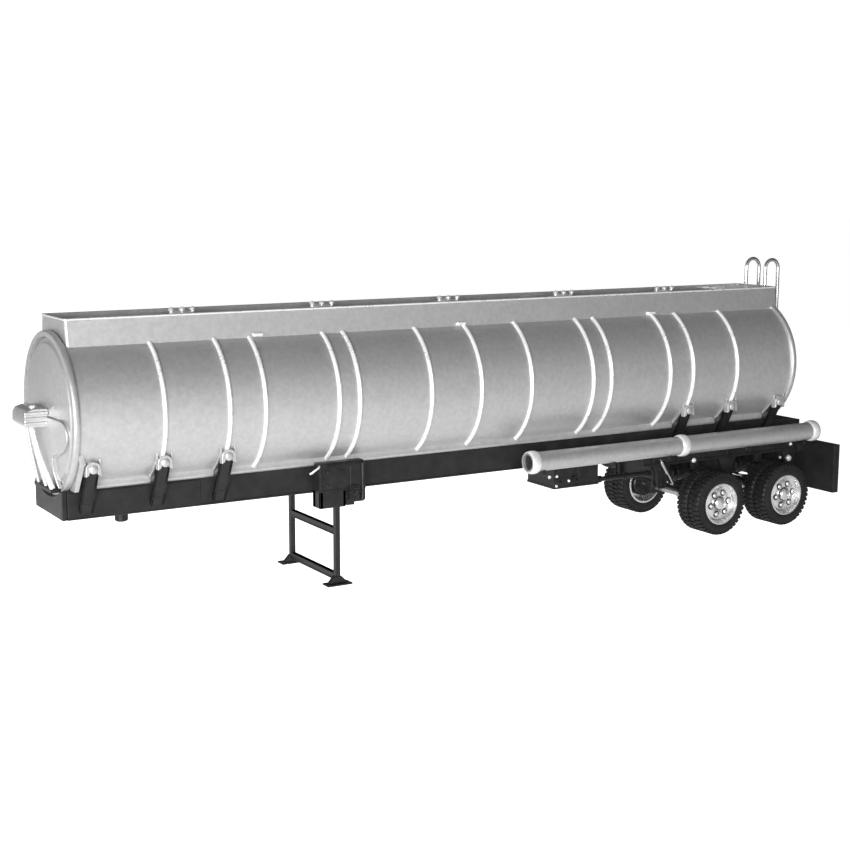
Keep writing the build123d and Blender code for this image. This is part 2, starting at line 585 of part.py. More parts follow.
def make_fittings():
    """Valve cabinet under the frame with its outlets, and the mud flap across the tail."""
    corner_r, outlet_r, outlet_reach, pipe_r = 0.4, 0.45, 0.7, 0.5
    outlet_x, outlet_z = (18.0, 21.6), CABINET_BOTTOM + 1.6
    pipe_y, pipe_z = -3.2, CABINET_BOTTOM + 0.6
    cabinet = block(CABINET_X, (-CABINET_Y, CABINET_Y), (CABINET_BOTTOM, FRAME_BOTTOM))
    cabinet = fillet(cabinet.edges().filter_by(Axis.Z), corner_r)
    face = -CABINET_Y
    outlets = [rod(outlet_r, (x, face - outlet_reach, outlet_z), (x, face, outlet_z)) for x in outlet_x]
    pipe_end = AXLE_X[0] - SPRING_HALF - (HANGER_LENGTH + CROSS_THICK) / 2
    pipe = rod(pipe_r, (CABINET_X[1], pipe_y, pipe_z), (pipe_end, pipe_y, pipe_z))
    write("valve_cabinet", cabinet)
    write("drain_fittings", *outlets, pipe)

    flap_front = TAIL_X - FLAP_THICK
    bracket_z = (12.2, 16.6)
    write("mud_flap", block((flap_front, TAIL_X), (-WIDTH / 2, WIDTH / 2), FLAP_Z))
    write("mud_flap_bracket", block((FRAME_REAR_X, flap_front), (-HANGER_Y[1], HANGER_Y[1]), bracket_z))


os.makedirs("parts", exist_ok=True)
make_tank()
make_nose()
make_coaming()
make_manholes()
make_ladder()
make_frame()
make_coupler()
make_saddles()
make_landing_gear()
make_wheels()
make_suspension()
make_side_tube()
make_fittings()
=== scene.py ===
"""Looks of a 1:87 road tank semi-trailer. Shapes are written in millimetres and made in metres.

X runs from the nose to the rear, Y to the trailer's right and Z up from the ground. A shape is a pair
(points, faces), and a piece is one mesh made from a list of shapes.
"""

import bmesh
import bpy
import math
from mathutils import Matrix, Vector


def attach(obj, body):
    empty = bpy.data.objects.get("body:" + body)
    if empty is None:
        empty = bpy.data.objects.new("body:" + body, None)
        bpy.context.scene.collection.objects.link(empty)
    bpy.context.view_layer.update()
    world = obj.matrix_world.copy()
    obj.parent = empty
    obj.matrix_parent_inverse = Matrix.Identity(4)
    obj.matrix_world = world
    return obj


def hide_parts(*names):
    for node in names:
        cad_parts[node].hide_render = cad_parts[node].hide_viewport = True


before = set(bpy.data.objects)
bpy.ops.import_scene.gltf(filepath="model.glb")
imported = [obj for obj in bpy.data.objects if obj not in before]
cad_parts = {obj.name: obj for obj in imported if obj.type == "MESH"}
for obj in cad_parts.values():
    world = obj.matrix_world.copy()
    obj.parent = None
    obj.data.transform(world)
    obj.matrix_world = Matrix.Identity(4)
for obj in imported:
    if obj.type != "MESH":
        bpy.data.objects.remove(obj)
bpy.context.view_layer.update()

MM = 0.001

# --- driving dimensions --------------------------------------------------------------------------
TANK_Z = 30.95
TANK = (0, TANK_Z)
TANK_R = 12.05
RIM_R = 12.55
SEAT_R = 11.65
BARREL_X = (-73.55, 67.35)
RIM_FRONT, RIM_REAR = -74.6, 68.4
HEAD_FRONT, HEAD_REAR = -75.6, 69.4
HEAD_BULGE = 52.85
RINGS = (-60.4, -49.9, -43.9, -31.0, -27.3, -13.75, -3.9, 6.4, 19.65, 23.65, 37.25, 42.7, 53.5)
COAM_X = (-73.3, 69.0)
COAM_Y = 5.4
COAM_TOP = 45.6
DECK_TOP = 43.5
HATCHES = (-52.6, -27.9, -3.2, 21.6, 45.3)
RAIL_OUT, RAIL_IN = 6.65, 4.45
INSIDE = (-RAIL_IN, RAIL_IN)
FRAME_BOTTOM, FRAME_TOP, TAIL_TOP = 15.5, 20.0, 19.0
APRON_X = (-75.0, -74.2)
TAIL_X, FRAME_REAR = 69.0, 75.7
KINGPIN_X = -63.5
SADDLES = (-71.4, -60.2, -49.8, 43.0, 53.6, 65.8)
LEG_X, LEG_Y = -29.8, 8.3
HOUSE_FRONT, HOUSE_REAR = -33.3, -25.0
AXLE_Z = 6.0
AXLES = (("front", 48.74), ("rear", 65.31))
SUB_X = (36.0, 75.1)
SUB_BOTTOM = 12.9
HANGERS = ((39.44, 41.84), (55.64, 58.41), (72.21, 74.61))
HOSE_Y, HOSE_Z, HOSE_R = -12.0, 17.6, 1.7


# --- shapes --------------------------------------------------------------------------------------
def box(x, y, z):
    """A block from its low and high along each axis."""
    points = [(a, b, c) for a in x for b in y for c in z]
    return points, [(0, 1, 3, 2), (4, 6, 7, 5), (0, 4, 5, 1), (2, 3, 7, 6), (0, 2, 6, 4), (1, 5, 7, 3)]


def prism(outline, axis, low, high):
    """An outline on the two other axes, pushed along an axis."""
    place = {
        "x": lambda a, b, t: (t, a, b),
        "y": lambda a, b, t: (a, t, b),
        "z": lambda a, b, t: (a, b, t),
    }[axis]
    count = len(outline)
    points = [place(a, b, low) for a, b in outline] + [place(a, b, high) for a, b in outline]
    sides = [(i, (i + 1) % count, (i + 1) % count + count, i + count) for i in range(count)]
    return points, [tuple(range(count)), tuple(range(count, 2 * count))] + sides


def lathe(profile, centre, axis, sides=64, start=0.0, end=360.0):
    """A closed profile of (along, radius) turned round an axis. Angles run from the top (x and y axes)."""
    full = end - start >= 359.99
    steps = sides if full else max(2, int(sides * (end - start) / 360))
    rows = steps if full else steps + 1
    place = {
        "x": lambda t, r, a: (t, centre[0] + r * math.sin(a), centre[1] + r * math.cos(a)),
        "y": lambda t, r, a: (centre[0] + r * math.sin(a), t, centre[1] + r * math.cos(a)),
        "z": lambda t, r, a: (centre[0] + r * math.cos(a), centre[1] + r * math.sin(a), t),
    }[axis]
    count = len(profile)
    points, faces = [], []
    for k in range(rows):
        angle = math.radians(start + (end - start) * k / steps)
        points += [place(t, r, angle) for t, r in profile]
    for k in range(steps):
        near = k * count
        far = (k + 1) % rows * count
        for i in range(count):
            j = (i + 1) % count
            faces.append((near + i, near + j, far + j, far + i))
    if not full:
        faces += [tuple(range(count)), tuple(range((rows - 1) * count, rows * count))]
    return points, faces


def tube(path, radius, sides=16):
    """A round rod along a list of points."""
    line = [Vector(p) for p in path]
    last = len(line) - 1
    normal = None
    points, faces = [], []
    for i, p in enumerate(line):
        ahead = (line[min(i + 1, last)] - line[max(i - 1, 0)]).normalized()
        if normal is None:
            normal = ahead.cross(Vector((0.3, 0.9, 0.2)) if abs(ahead.z) > 0.5 else Vector((0, 0, 1)))
        normal = (normal - ahead * normal.dot(ahead)).normalized()
        side = ahead.cross(normal)
        for k in range(sides):
            a = 2 * math.pi * k / sides
            points.append(tuple(p + radius * (math.cos(a) * normal + math.sin(a) * side)))
    for i in range(last):
        near, far = i * sides, (i + 1) * sides
        for k in range(sides):
            j = (k + 1) % sides
            faces.append((near + k, near + j, far + j, far + k))
    return points, faces + [tuple(range(sides)), tuple(range(last * sides, (last + 1) * sides))]


def rounded(corners, radius, steps=6):
    """A path through these corners, each inner one rounded off."""
    line = [Vector(p) for p in corners]
    path = [line[0]]
    for before, corner, after in zip(line, line[1:], line[2:]):
        a = corner + (before - corner).normalized() * radius
        b = corner + (after - corner).normalized() * radius
        for k in range(steps + 1):
            t = k / steps
            path.append(a * (1 - t) ** 2 + corner * 2 * t * (1 - t) + b * t * t)
    return path + [line[-1]]


def arc(centre, radius, start, end, steps=12):
    """Points on an arc of a flat outline, angles in degrees."""
    points = []
    for k in range(steps + 1):
        angle = math.radians(start + (end - start) * k / steps)
        points.append((centre[0] + radius * math.cos(angle), centre[1] + radius * math.sin(angle)))
    return points


def angles(step, first, last):
    """Angles in radians, from first to last times a step in degrees."""
    return [math.radians(step * k) for k in range(first, last + 1)]


def dome(centre, axis, base, height, radius, sides=20, collar=0.0):
    """A round-topped button standing along an axis. A negative height points it the other way."""
    sign = 1 if height > 0 else -1
    rise = abs(height) - collar
    profile = [(base, 0), (base, radius), (base + sign * collar, radius)]
    for a in angles(15, 1, 6):
        profile.append((base + sign * (collar + rise * math.sin(a)), radius * math.cos(a)))
    return lathe(profile, centre, axis, sides)


def mirror(shapes):
    """The same shapes on the other side of the trailer."""
    return [([(x, -y, z) for x, y, z in points], faces) for points, faces in shapes]


def both(shapes):
    """Shapes together with their mirror images."""
    return shapes + mirror(shapes)


def span(flip, near, far):
    """Low and high across the trailer, on its right when flip is 1 and on its left when flip is -1."""
    return sorted((flip * near, flip * far))


def around(middle, half):
    """Low and high on both sides of a middle."""
    return (middle - half, middle + half)


def on_tank(y):
    """Height of the tank's upper surface at this distance from its middle."""
    return TANK_Z + math.sqrt(TANK_R ** 2 - y ** 2)


def tank_arc(first_y, last_y, radius, steps):
    """Outline points (y, z) along the tank's lower side."""
    line = [first_y + (last_y - first_y) * k / steps for k in range(steps + 1)]
    return [(y, TANK_Z - math.sqrt(radius ** 2 - y ** 2)) for y in line]


def dome_x(y, z):
    """The front head's surface."""
    return HEAD_FRONT + HEAD_BULGE - math.sqrt(HEAD_BULGE ** 2 - y ** 2 - (z - TANK_Z) ** 2)


# --- finishes ------------------------------------------------------------------------------------
def grey(tone):
    """An opaque grey."""
    return (tone, tone, tone, 1)


def ramp(nodes, stops):
    """A colour ramp through greys. Each stop is (position, tone)."""
    made = nodes.new("ShaderNodeValToRGB")
    elements = made.color_ramp.elements
    for element, (position, tone) in ((elements[0], stops[0]), (elements[1], stops[-1])):
        element.position = position
        element.color = grey(tone)
    for position, tone in stops[1:-1]:
        elements.new(position).color = grey(tone)
    return made


def map_range(nodes, source, target):
    """A node that carries one range of values over to another."""
    made = nodes.new("ShaderNodeMapRange")
    made.inputs["From Min"].default_value = source[0]
    made.inputs["From Max"].default_value = source[1]
    made.inputs["To Min"].default_value = target[0]
    made.inputs["To Max"].default_value = target[1]
    return made


def surface(name, tones, metallic, roughness, scale, bump, spread=0.08, shine=0.5):
    """A material whose grey, roughness and grain vary through the solid."""
    grain_to_cloud = 14
    grain_depth = 0.00003
    material = bpy.data.materials.new(name)
    material.use_nodes = True
    nodes, links = material.node_tree.nodes, material.node_tree.links
    shader = nodes["Principled BSDF"]
    shader.inputs["Metallic"].default_value = metallic
    shader.inputs["Specular IOR Level"].default_value = shine
    place = nodes.new("ShaderNodeTexCoord")

    cloud = nodes.new("ShaderNodeTexNoise")
    cloud.inputs["Scale"].default_value = scale
    cloud.inputs["Detail"].default_value = 5
    cloud.inputs["Roughness"].default_value = 0.6
    links.new(place.outputs["Object"], cloud.inputs["Vector"])
    tint = ramp(nodes, ((0.35, tones[0]), (0.65, tones[1])))
    links.new(cloud.outputs["Fac"], tint.inputs["Fac"])
    links.new(tint.outputs["Color"], shader.inputs["Base Color"])
    rub = map_range(nodes, (0.3, 0.7), around(roughness, spread))
    links.new(cloud.outputs["Fac"], rub.inputs["Value"])
    links.new(rub.outputs["Result"], shader.inputs["Roughness"])

    grain = nodes.new("ShaderNodeTexNoise")
    grain.inputs["Scale"].default_value = scale * grain_to_cloud
    grain.inputs["Detail"].default_value = 3
    links.new(place.outputs["Object"], grain.inputs["Vector"])
    relief = nodes.new("ShaderNodeBump")
    relief.inputs["Strength"].default_value = bump
    relief.inputs["Distance"].default_value = grain_depth
    links.new(grain.outputs["Fac"], relief.inputs["Height"])
    links.new(relief.outputs["Normal"], shader.inputs["Normal"])
    return material


# Each look is a material and the slot it belongs to.
SILVER = (surface("silver_plastic", (0.50, 0.57), 0.7, 0.42, 1300, 0.3, spread=0.04), "silver_plastic")
BRIGHT = (surface("bright_silver", (0.82, 0.90), 0.45, 0.30, 400, 0.08), "bright_silver")
CHROME = (surface("chrome_plating", (0.84, 0.92), 1.0, 0.12, 500, 0.04, spread=0.04), "chrome_plating")
DISC = (surface("wheel_plating", (0.84, 0.92), 0.9, 0.27, 500, 0.04, spread=0.04), "chrome_plating")
STEEL = (surface("axle_steel", (0.55, 0.66), 1.0, 0.28, 500, 0.1), "axle_steel")
BLACK = (surface("chassis_black", (0.010, 0.018), 0.0, 0.40, 420, 0.25, shine=0.3), "chassis_black")
TYRE = (surface("tyre_black", (0.008, 0.014), 0.0, 0.55, 380, 0.5, shine=0.3), "tyre_black")


def piece(name, shapes, look, cad=(), body="trailer", bevel=0.0, smooth=32):
    """Makes one named mesh from shapes, gives it its finish and body, and lets it stand for CAD nodes."""
    weld, sliver, bevel_from = 2e-6, 1e-7, 40
    mesh = bpy.data.meshes.new(name)
    bm = bmesh.new()
    for points, faces in shapes:
        verts = [bm.verts.new(Vector(p) * MM) for p in points]
        for face in faces:
            bm.faces.new([verts[i] for i in face])
        bmesh.ops.remove_doubles(bm, verts=verts, dist=weld)
    bmesh.ops.dissolve_degenerate(bm, edges=bm.edges, dist=sliver)
    bmesh.ops.recalc_face_normals(bm, faces=bm.faces)
    bm.to_mesh(mesh)
    bm.free()
    mesh.shade_smooth()
    mesh.set_sharp_from_angle(angle=math.radians(smooth))
    made = bpy.data.objects.new(name, mesh)
    bpy.context.scene.collection.objects.link(made)
    material, slot = look
    mesh.materials.append(material)
    if bevel:
        round_off = made.modifiers.new("Edges", "BEVEL")
        round_off.width = bevel * MM
        round_off.segments = 2
        round_off.limit_method = "ANGLE"
        round_off.angle_limit = math.radians(bevel_from)
        round_off.harden_normals = True
    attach(made, body)
    if cad:
        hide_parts(*cad)


# --- tank ----------------------------------------------------------------------------------------
def head_profile(apex, seat, sign):
    """Half section of a dished head: a shallow dome with a rounded shoulder, down to its seat."""
    dish_r, steps = 10.6, 14
    lead, depth, height = 0.25, 0.95, 1.05
    line = []
    for k in range(steps + 1):
        r = dish_r * k / steps
        line.append((apex + sign * (HEAD_BULGE - math.sqrt(HEAD_BULGE ** 2 - r ** 2)), r))
    x, r = line[-1]
    for a in angles(15, 1, 6):
        line.append((x + sign * (lead + depth * (1 - math.cos(a))), r + height * math.sin(a)))
    return line + [(seat, SEAT_R), (seat, 0)]


def rim_profile(low, high):
    """Section of an end band with its outer edges rounded off."""
    mid = (low + high) / 2
    edge = 0.35
    line = []
    for a in angles(15, 0, 6):
        line.append((low + (mid - low) * (1 - math.cos(a)) ** 1.4, RIM_R - edge + edge * math.sin(a)))
    line += [(low + high - x, r) for x, r in line[-2::-1]]
    return [(low, SEAT_R)] + line + [(high, SEAT_R)]


def make_tank():
    """Barrel, heads, end rims, ring bands and the ledges along both sides."""
    front, rear = BARREL_X
    inner_r = TANK_R - 0.9
    skin = [(front, TANK_R), (rear, TANK_R), (rear, inner_r), (front, inner_r)]
    piece("barrel", [lathe(skin, TANK, "x", 192)], SILVER, ["tank_barrel"])
    front_head = head_profile(HEAD_FRONT, front, 1)
    rear_head = head_profile(HEAD_REAR, rear, -1)
    piece("head_front", [lathe(front_head, TANK, "x", 128)], SILVER, ["tank_head_front"])
    piece("head_rear", [lathe(rear_head, TANK, "x", 128)], SILVER, ["tank_head_rear"])

    # The rear rim is open at the top, where the coaming reaches over it.
    front_rim = lathe(rim_profile(RIM_FRONT, front), TANK, "x", 160)
    rear_rim = lathe(rim_profile(rear, RIM_REAR), TANK, "x", 160, 28.6, 331.4)
    piece("end_rims", [front_rim, rear_rim], SILVER, ["tank_end_rims"])

    # Each ring runs down both sides, from the coaming to the ledge.
    bands = []
    for x in RINGS:
        ring = [(x + 0.36 * math.cos(a), 11.94 + 0.58 * math.sin(a)) for a in angles(18, 0, 10)]
        bands += both([lathe(ring, TANK, "x", 160, 29.6, 144.4)])
    piece("ring_bands", bands, BRIGHT, ["tank_rings"])
    ledge = [(6.2, 20.0), (6.9, 20.0)] + arc((6.95, 20.45), 0.38, -90, 35, 6) + [(7.22, 21.3), (6.2, 20.7)]
    piece("base_strips", both([prism(ledge, "x", front, rear)]), SILVER, ["tank_base_rails"])


# --- nose ----------------------------------------------------------------------------------------
def guard_edge():
    """The guard panel's edge as (y, z), down its left side and up its right."""
    corner = [(-5.2, 30.8)] + arc((-8.2, 28.8), 2.0, 90, 180, 6)
    lower = [(10.1, 28.0), (9.2, 26.9), (7.4, 25.8), (4.4, 24.9), (4.0, 22.6), (4.8, 19.95)]
    left = corner + [(-y, z) for y, z in lower]
    return left + lower[::-1] + [(-y, z) for y, z in corner[::-1]]


def guard_shell(edge, proud, sunk):
    """A shell on the dished head, in rows of points between its middle and its edge."""
    middle_z = 26.5
    shares = (0.0, 0.25, 0.5, 0.75, 1.0)
    rows, count = len(shares), len(edge)
    points, faces = [], []
    for depth in (-proud, sunk):
        for share in shares:
            for edge_y, edge_z in edge:
                y = edge_y * share
                z = middle_z + (edge_z - middle_z) * share
                points.append((dome_x(y, z) + depth, y, z))
    strips = [(layer + row, layer + row + 1) for layer in (0, rows) for row in range(rows - 1)]
    strips.append((rows - 1, 2 * rows - 1))
    for near, far in strips:
        for i in range(count):
            j = (i + 1) % count
            faces.append((near * count + i, near * count + j, far * count + j, far * count + i))
    return points, faces


def make_guard():
    """The shaped panel on the front head and the bead round its edge."""
    edge, proud, parts = guard_edge(), 0.4, 4
    piece("guard_panel", [guard_shell(edge, proud, 0.1)], SILVER, ["nose_guard_panel"])
    bead = []
    for (y0, z0), (y1, z1) in zip(edge, edge[1:] + edge[:1]):
        for k in range(parts):
            y = y0 + (y1 - y0) * k / parts
            z = z0 + (z1 - z0) * k / parts
            bead.append((dome_x(y, z) - proud, y, z))
    piece("guard_bead", [tube(bead + bead[:2], 0.15, 10)], SILVER)


def make_lamp_box():
    """The lamp box with three ribs on its left end and two buttons on top."""
    front, back, top, half = -79.12, -75.5, 32.1, 3.4
    side = [(-79.1, 29.9), (-78.7, 29.4), (back, 29.4), (back, top), (-77.6, 32.2), (-78.6, 31.9),
            (-79.0, 31.3)]
    shapes = [prism(side, "y", -3.15, half)]
    for low, high in ((29.75, 30.25), (30.55, 31.0), (31.3, 31.8)):
        shapes.append(prism([(front, low), (back, low), (back, high), (front, high)], "y", -half, -3.1))
    shapes.append(dome((-77.4, -1.6), "z", top, 0.75, 0.55, collar=0.3))
    shapes.append(dome((-77.4, 1.6), "z", top, 0.5, 0.4))
    piece("lamp_box", shapes, SILVER, ["nose_lamp_box"], bevel=0.14)


def make_conduits():
    """One thick and two thin tubes from the lamp box down to a clip on the frame."""
    bend_z, bend_r, top_z, foot_z = 26.0, 2.6, 29.5, 20.2
    runs = (
        ((-77.6, -1.4, top_z), (-75.75, -4.9, foot_z), 0.42),
        ((-77.3, 0.5, top_z), (-75.8, -1.9, foot_z), 0.3),
        ((-77.2, 2.3, top_z), (-75.8, 1.8, foot_z), 0.3),
    )
    tubes = []
    for top, foot, radius in runs:
        bend = (top[0] + 0.35, top[1] + (foot[1] - top[1]) * 0.28, bend_z)
        tubes.append(tube(rounded([top, bend, foot], bend_r, 10), radius, 14))
    piece("conduit_clip", [box((-76.2, -74.6), (-5.2, 3.0), (19.6, foot_z))], BLACK, bevel=0.1)
    # Painted highlight: the thick conduit is in the light silver for the bright line the light puts along it,
    # while the thin ones keep the plain silver.
    piece("conduit_near_highlit", tubes[:1], BRIGHT, ["nose_conduits"])
    piece("conduits_thin", tubes[1:], SILVER)


# --- coaming -------------------------------------------------------------------------------------
def coaming_outline():
    """The coaming's plan, a long rectangle with rounded corners."""
    corner = 0.45
    front, rear, side = COAM_X[0] + corner, COAM_X[1] - corner, COAM_Y - corner
    outline = []
    for x, y, start in ((front, -side, 180), (rear, -side, 270), (rear, side, 0), (front, side, 90)):
        outline += arc((x, y), corner, start, start + 90, 8)
    return outline


def coaming_shell(outline):
    """Four walls, the long ones leaning outwards to their feet on the tank."""
    foot_y, wall, inner_foot, cuts = 6.06, 0.6, 43.2, 14
    mid_x = sum(COAM_X) / 2
    half_x = (COAM_X[1] - COAM_X[0]) / 2
    stations = []
    for (x0, y0), (x1, y1) in zip(outline, outline[1:] + outline[:1]):
        # The end walls are cut finely, because their feet follow the tank's curve.
        parts = cuts if abs(y1 - y0) > 3 else 1
        stations += [(x0 + (x1 - x0) * k / parts, y0 + (y1 - y0) * k / parts) for k in range(parts)]
    points, faces = [], []
    for x, y in stations:
        foot = y * foot_y / COAM_Y
        inner = (mid_x + (x - mid_x) * (half_x - wall) / half_x, y * (COAM_Y - wall) / COAM_Y)
        points += [(x, foot, on_tank(foot) - 0.08), (x, y, COAM_TOP)]
        points += [(*inner, COAM_TOP), (*inner, inner_foot)]
    for i in range(len(stations)):
        a = 4 * i
        b = 4 * ((i + 1) % len(stations))
        faces += [(a + k, b + k, b + (k + 1) % 4, a + (k + 1) % 4) for k in range(4)]
    return points, faces


def make_coaming():
    """Spill coaming on top of the tank, a bright lip along its top edge that is a painted highlight, its
    deck, lugs and a rear walkway whose light silver is partly painted highlight.
    """
    outline = coaming_outline()
    piece("coaming", [coaming_shell(outline)], SILVER, ["coaming_walls"], bevel=0.12, smooth=40)
    # Painted highlight: a thin tube in the light silver along the top edge stands for the light line that the
    # edge catches.
    lip = [(x, y, COAM_TOP - 0.15) for x, y in outline + outline[:2]]
    piece("coaming_edge_highlight", [tube(lip, 0.15, 10)], BRIGHT)
    deck = [box((-72.8, 68.5), (-5.2, 5.2), (43.0, DECK_TOP))]
    for x in (-65, -58, -40.5, -15.6, 9.2, 33.4, 56):
        deck.append(box(around(x, 0.25), (-4.9, 4.9), (43.4, 43.75)))
    piece("coaming_deck", deck, SILVER, ["coaming_floor"], bevel=0.06)
    lugs = []
    for x in (-42.4, -4.4, 37.2):
        lugs += both([box(around(x, 0.8), (-6.45, -5.7), (41.55, 42.05))])
    piece("coaming_lugs", lugs, BRIGHT, bevel=0.08)
    # The walkway plate is in the light silver so that it also gives the white patch at the rear of the
    # coaming: partly painted highlight.
    walkway = [box((59.3, 68.3), (-4.8, 4.8), (44.9, 45.15))]
    for k in range(6):
        walkway.append(box((59.7 + 1.4 * k, 60.2 + 1.4 * k), (-4.6, 4.6), (45.1, 45.33)))
    piece("walkway", walkway, BRIGHT, ["walkway_plate"], bevel=0.05)


def make_hatches():
    """Five hatch covers, each with a hinge block and three knobs in a row."""
    neck = [(DECK_TOP, 0), (DECK_TOP, 1.95), (44.3, 1.95), (44.35, 1.75), (44.8, 1.75), (44.85, 2.0),
            (45.2, 2.0), (45.35, 1.85), (45.5, 1.2), (45.58, 0)]
    knob = [(44.2, 0), (44.2, 0.3), (45.6, 0.28), (45.62, 0.45), (45.85, 0.47), (46.05, 0.36),
            (46.17, 0.18), (46.2, 0)]
    for number, x in enumerate(HATCHES, 1):
        cover = [lathe(neck, (x, 0), "z", 48), box(around(x, 0.5), (1.6, 2.0), (44.4, 45.5))]
        cover += [lathe(knob, (x + off, 0), "z", 20) for off in (-1.8, 0, 1.8)]
        piece(f"manhole_cover_{number}", cover, BRIGHT, [f"manhole_{number}"])


def make_ladder():
    """Two wires that hook over the rear end of the coaming, and the rungs between them."""
    inner_x, outer_x, top, foot = 68.65, 72.0, 51, 19.0
    hoop_r = (outer_x - inner_x) / 2
    hoop_z = top - 0.35 - hoop_r
    wires = []
    for y in (-2.65, 2.65):
        hoop = []
        for a in angles(10, 0, 18):
            hoop.append((inner_x + hoop_r - hoop_r * math.cos(a), y, hoop_z + hoop_r * math.sin(a)))
        wires.append(tube([(inner_x, y, COAM_TOP)] + hoop + [(outer_x, y, foot)], 0.34, 16))
    piece("ladder_rails_wire", wires, CHROME, ["ladder_rails"])
    rungs = []
    for k in range(7):
        z = 22 + 3.6 * k
        rungs.append(tube([(outer_x, -2.6, z), (outer_x, 2.6, z)], 0.29, 14))
    piece("ladder_steps", rungs, CHROME, ["ladder_rungs"])


# --- frame ---------------------------------------------------------------------------------------
def channel(flip, top):
    """Section of one side's rail, open towards the middle, with its top at this height."""
    web, lip = 5.75, 0.7
    section = [(RAIL_OUT, FRAME_BOTTOM), (RAIL_OUT, top), (RAIL_IN, top), (RAIL_IN, top - lip),
               (web, top - lip), (web, FRAME_BOTTOM + lip), (RAIL_IN, FRAME_BOTTOM + lip),
               (RAIL_IN, FRAME_BOTTOM)]
    return [(flip * y, z) for y, z in section]


def rail(flip):
    """One side's rail, lower behind the tank, with a lower edge strip and a plate at the front."""
    front = APRON_X[1]
    skin = span(flip, 6.6, 6.82)
    return [
        prism(channel(flip, FRAME_TOP), "x", front, TAIL_X),
        prism(channel(flip, TAIL_TOP), "x", TAIL_X, FRAME_REAR),
        box((front, FRAME_REAR), skin, (FRAME_BOTTOM, 15.85)),
        box((front, -52.9), skin, (15.8, 19.7)),
    ]


def make_frame():
    """Rails, front apron, cross beams and the deck behind the tank."""
    piece("rail_left", rail(-1), BLACK, ["frame_rail_left"], bevel=0.1)
    piece("rail_right", rail(1), BLACK, ["frame_rail_right"], bevel=0.1)
    apron = [(-RAIL_OUT, FRAME_BOTTOM), (RAIL_OUT, FRAME_BOTTOM), (RAIL_OUT, FRAME_TOP)]
    apron += tank_arc(5.9, -5.9, RIM_R, 20) + [(-RAIL_OUT, FRAME_TOP)]
    piece("apron", [prism(apron, "x", *APRON_X)], BLACK, ["frame_apron"], bevel=0.15)
    beams = [box(around(x, 0.6), INSIDE, (16.6, 19.0)) for x in (-56.0, -36, -14, 8, 33, 61)]
    piece("cross_beams", beams, BLACK, ["frame_crossmembers"], bevel=0.1)
    deck = [box((70.0, FRAME_REAR), INSIDE, (18.2, TAIL_TOP))]
    deck.append(box((74.5, FRAME_REAR), INSIDE, (FRAME_BOTTOM, TAIL_TOP)))
    deck += [box((70.6 + k, 71.0 + k), (-4.2, 4.2), (18.9, 19.1)) for k in range(5)]
    piece("tail_deck", deck, BLACK, ["rear_deck"], bevel=0.08)


def plate_with_hole(half, hole_r, steps, heights):
    """A square plate round the kingpin with a round hole in its middle."""
    hole = arc((KINGPIN_X, 0), hole_r, 0, 360, steps)[:-1]
    square = []
    for k in range(steps):
        a = 2 * math.pi * k / steps
        x = max(-1, min(1, 1.5 * math.cos(a)))
        y = max(-1, min(1, 1.5 * math.sin(a)))
        square.append((KINGPIN_X + half * x, half * y))
    points = [(x, y, z) for z in heights for ring in (hole, square) for x, y in ring]
    faces = []
    for near, far in ((0, 1), (2, 3), (0, 2), (1, 3)):
        for k in range(steps):
            j = (k + 1) % steps
            faces.append((near * steps + k, near * steps + j, far * steps + j, far * steps + k))
    return points, faces


def make_coupler():
    """Coupler plate between the rails and the kingpin that stands down through it."""
    bottom, top = FRAME_BOTTOM, 16.3
    heights = (bottom, top)
    half, centre = 2.7, (KINGPIN_X, 0)
    near, far = around(KINGPIN_X, half)
    plate = [
        box((APRON_X[1], near), INSIDE, heights),
        box((far, -48.0), INSIDE, heights),
        box((near, far), (-RAIL_IN, -half), heights),
        box((near, far), (half, RAIL_IN), heights),
        plate_with_hole(half, 1.5, 48, heights),
        lathe([(15.7, 0.8), (top, 0.8), (top, 1.6), (15.7, 1.6)], centre, "z", 48),
    ]
    piece("coupler", plate, BLACK, ["coupler_plate"], bevel=0.04)
    neck_r, pin_r, foot = 0.85, 1.05, 13.0
    pin = [(foot, 0), (foot, neck_r), (13.2, pin_r), (15.3, pin_r), (15.3, neck_r), (top, neck_r), (top, 2.2),
           (16.75, 2.2), (16.9, 2.05), (16.9, 0)]
    piece("kingpin_turned", [lathe(pin, centre, "z", 40)], BLACK, ["kingpin"])


def make_saddles():
    """Black gussets on the frame and silver straps on the tank, and the cradle at the front."""
    gussets, straps = [], []
    strap_r, gusset_r = 12.06, 12.5
    plate = [(6.6, 15.9), (10.1, 22.9), (10.2, 23.6)] + tank_arc(10.1, 7.25, gusset_r, 8)
    plate += [(7.2, FRAME_TOP), (6.6, FRAME_TOP)]
    face = [(6.6, 15.9), (10.1, 22.9), (9.7, 22.9), (6.6, 16.7)]
    band = tank_arc(7.45, 10.7, strap_r, 12) + tank_arc(10.7, 7.6, 12.45, 12)
    for x in SADDLES:
        for low in (x - 1.1, x + 0.65):
            gussets += both([prism(plate, "x", low, low + 0.45)])
        gussets += both([prism(face, "x", x - 1.1, x + 1.1)])
        gussets += both([box(around(x, 0.9), (6.6, 7.6), (17.6, 17.95))])
        for low in (x - 1.35, x + 1.0):
            straps += both([prism(band, "x", low, low + 0.35)])
        arch = [(x - 1.2, 22.6), (x - 1.2, 23.7)] + arc((x, 23.7), 1.2, 180, 0, 12)[1:-1]
        arch += [(x + 1.2, 23.7), (x + 1.2, 22.6)]
        arch += [(x + 0.7, 22.9), (x + 0.5, 23.5), (x - 0.5, 23.5), (x - 0.7, 22.9)]
        straps += both([prism(arch, "y", 9.9, 11.05)])
        straps += both([dome((x, 23.75), "y", 10.9, 0.35, 0.7, 24, 0.1)])
    cradle = [(7.25, FRAME_TOP), (8.2, FRAME_TOP), (11.25, 24.5)] + tank_arc(11.1, 7.3, strap_r, 12)
    straps += both([prism(cradle, "x", BARREL_X[0], -72.8)])
    piece("gussets", gussets, BLACK, ["saddle_brackets"], bevel=0.07)
    piece("saddle_straps", straps, SILVER, ["saddle_pads"], bevel=0.16)


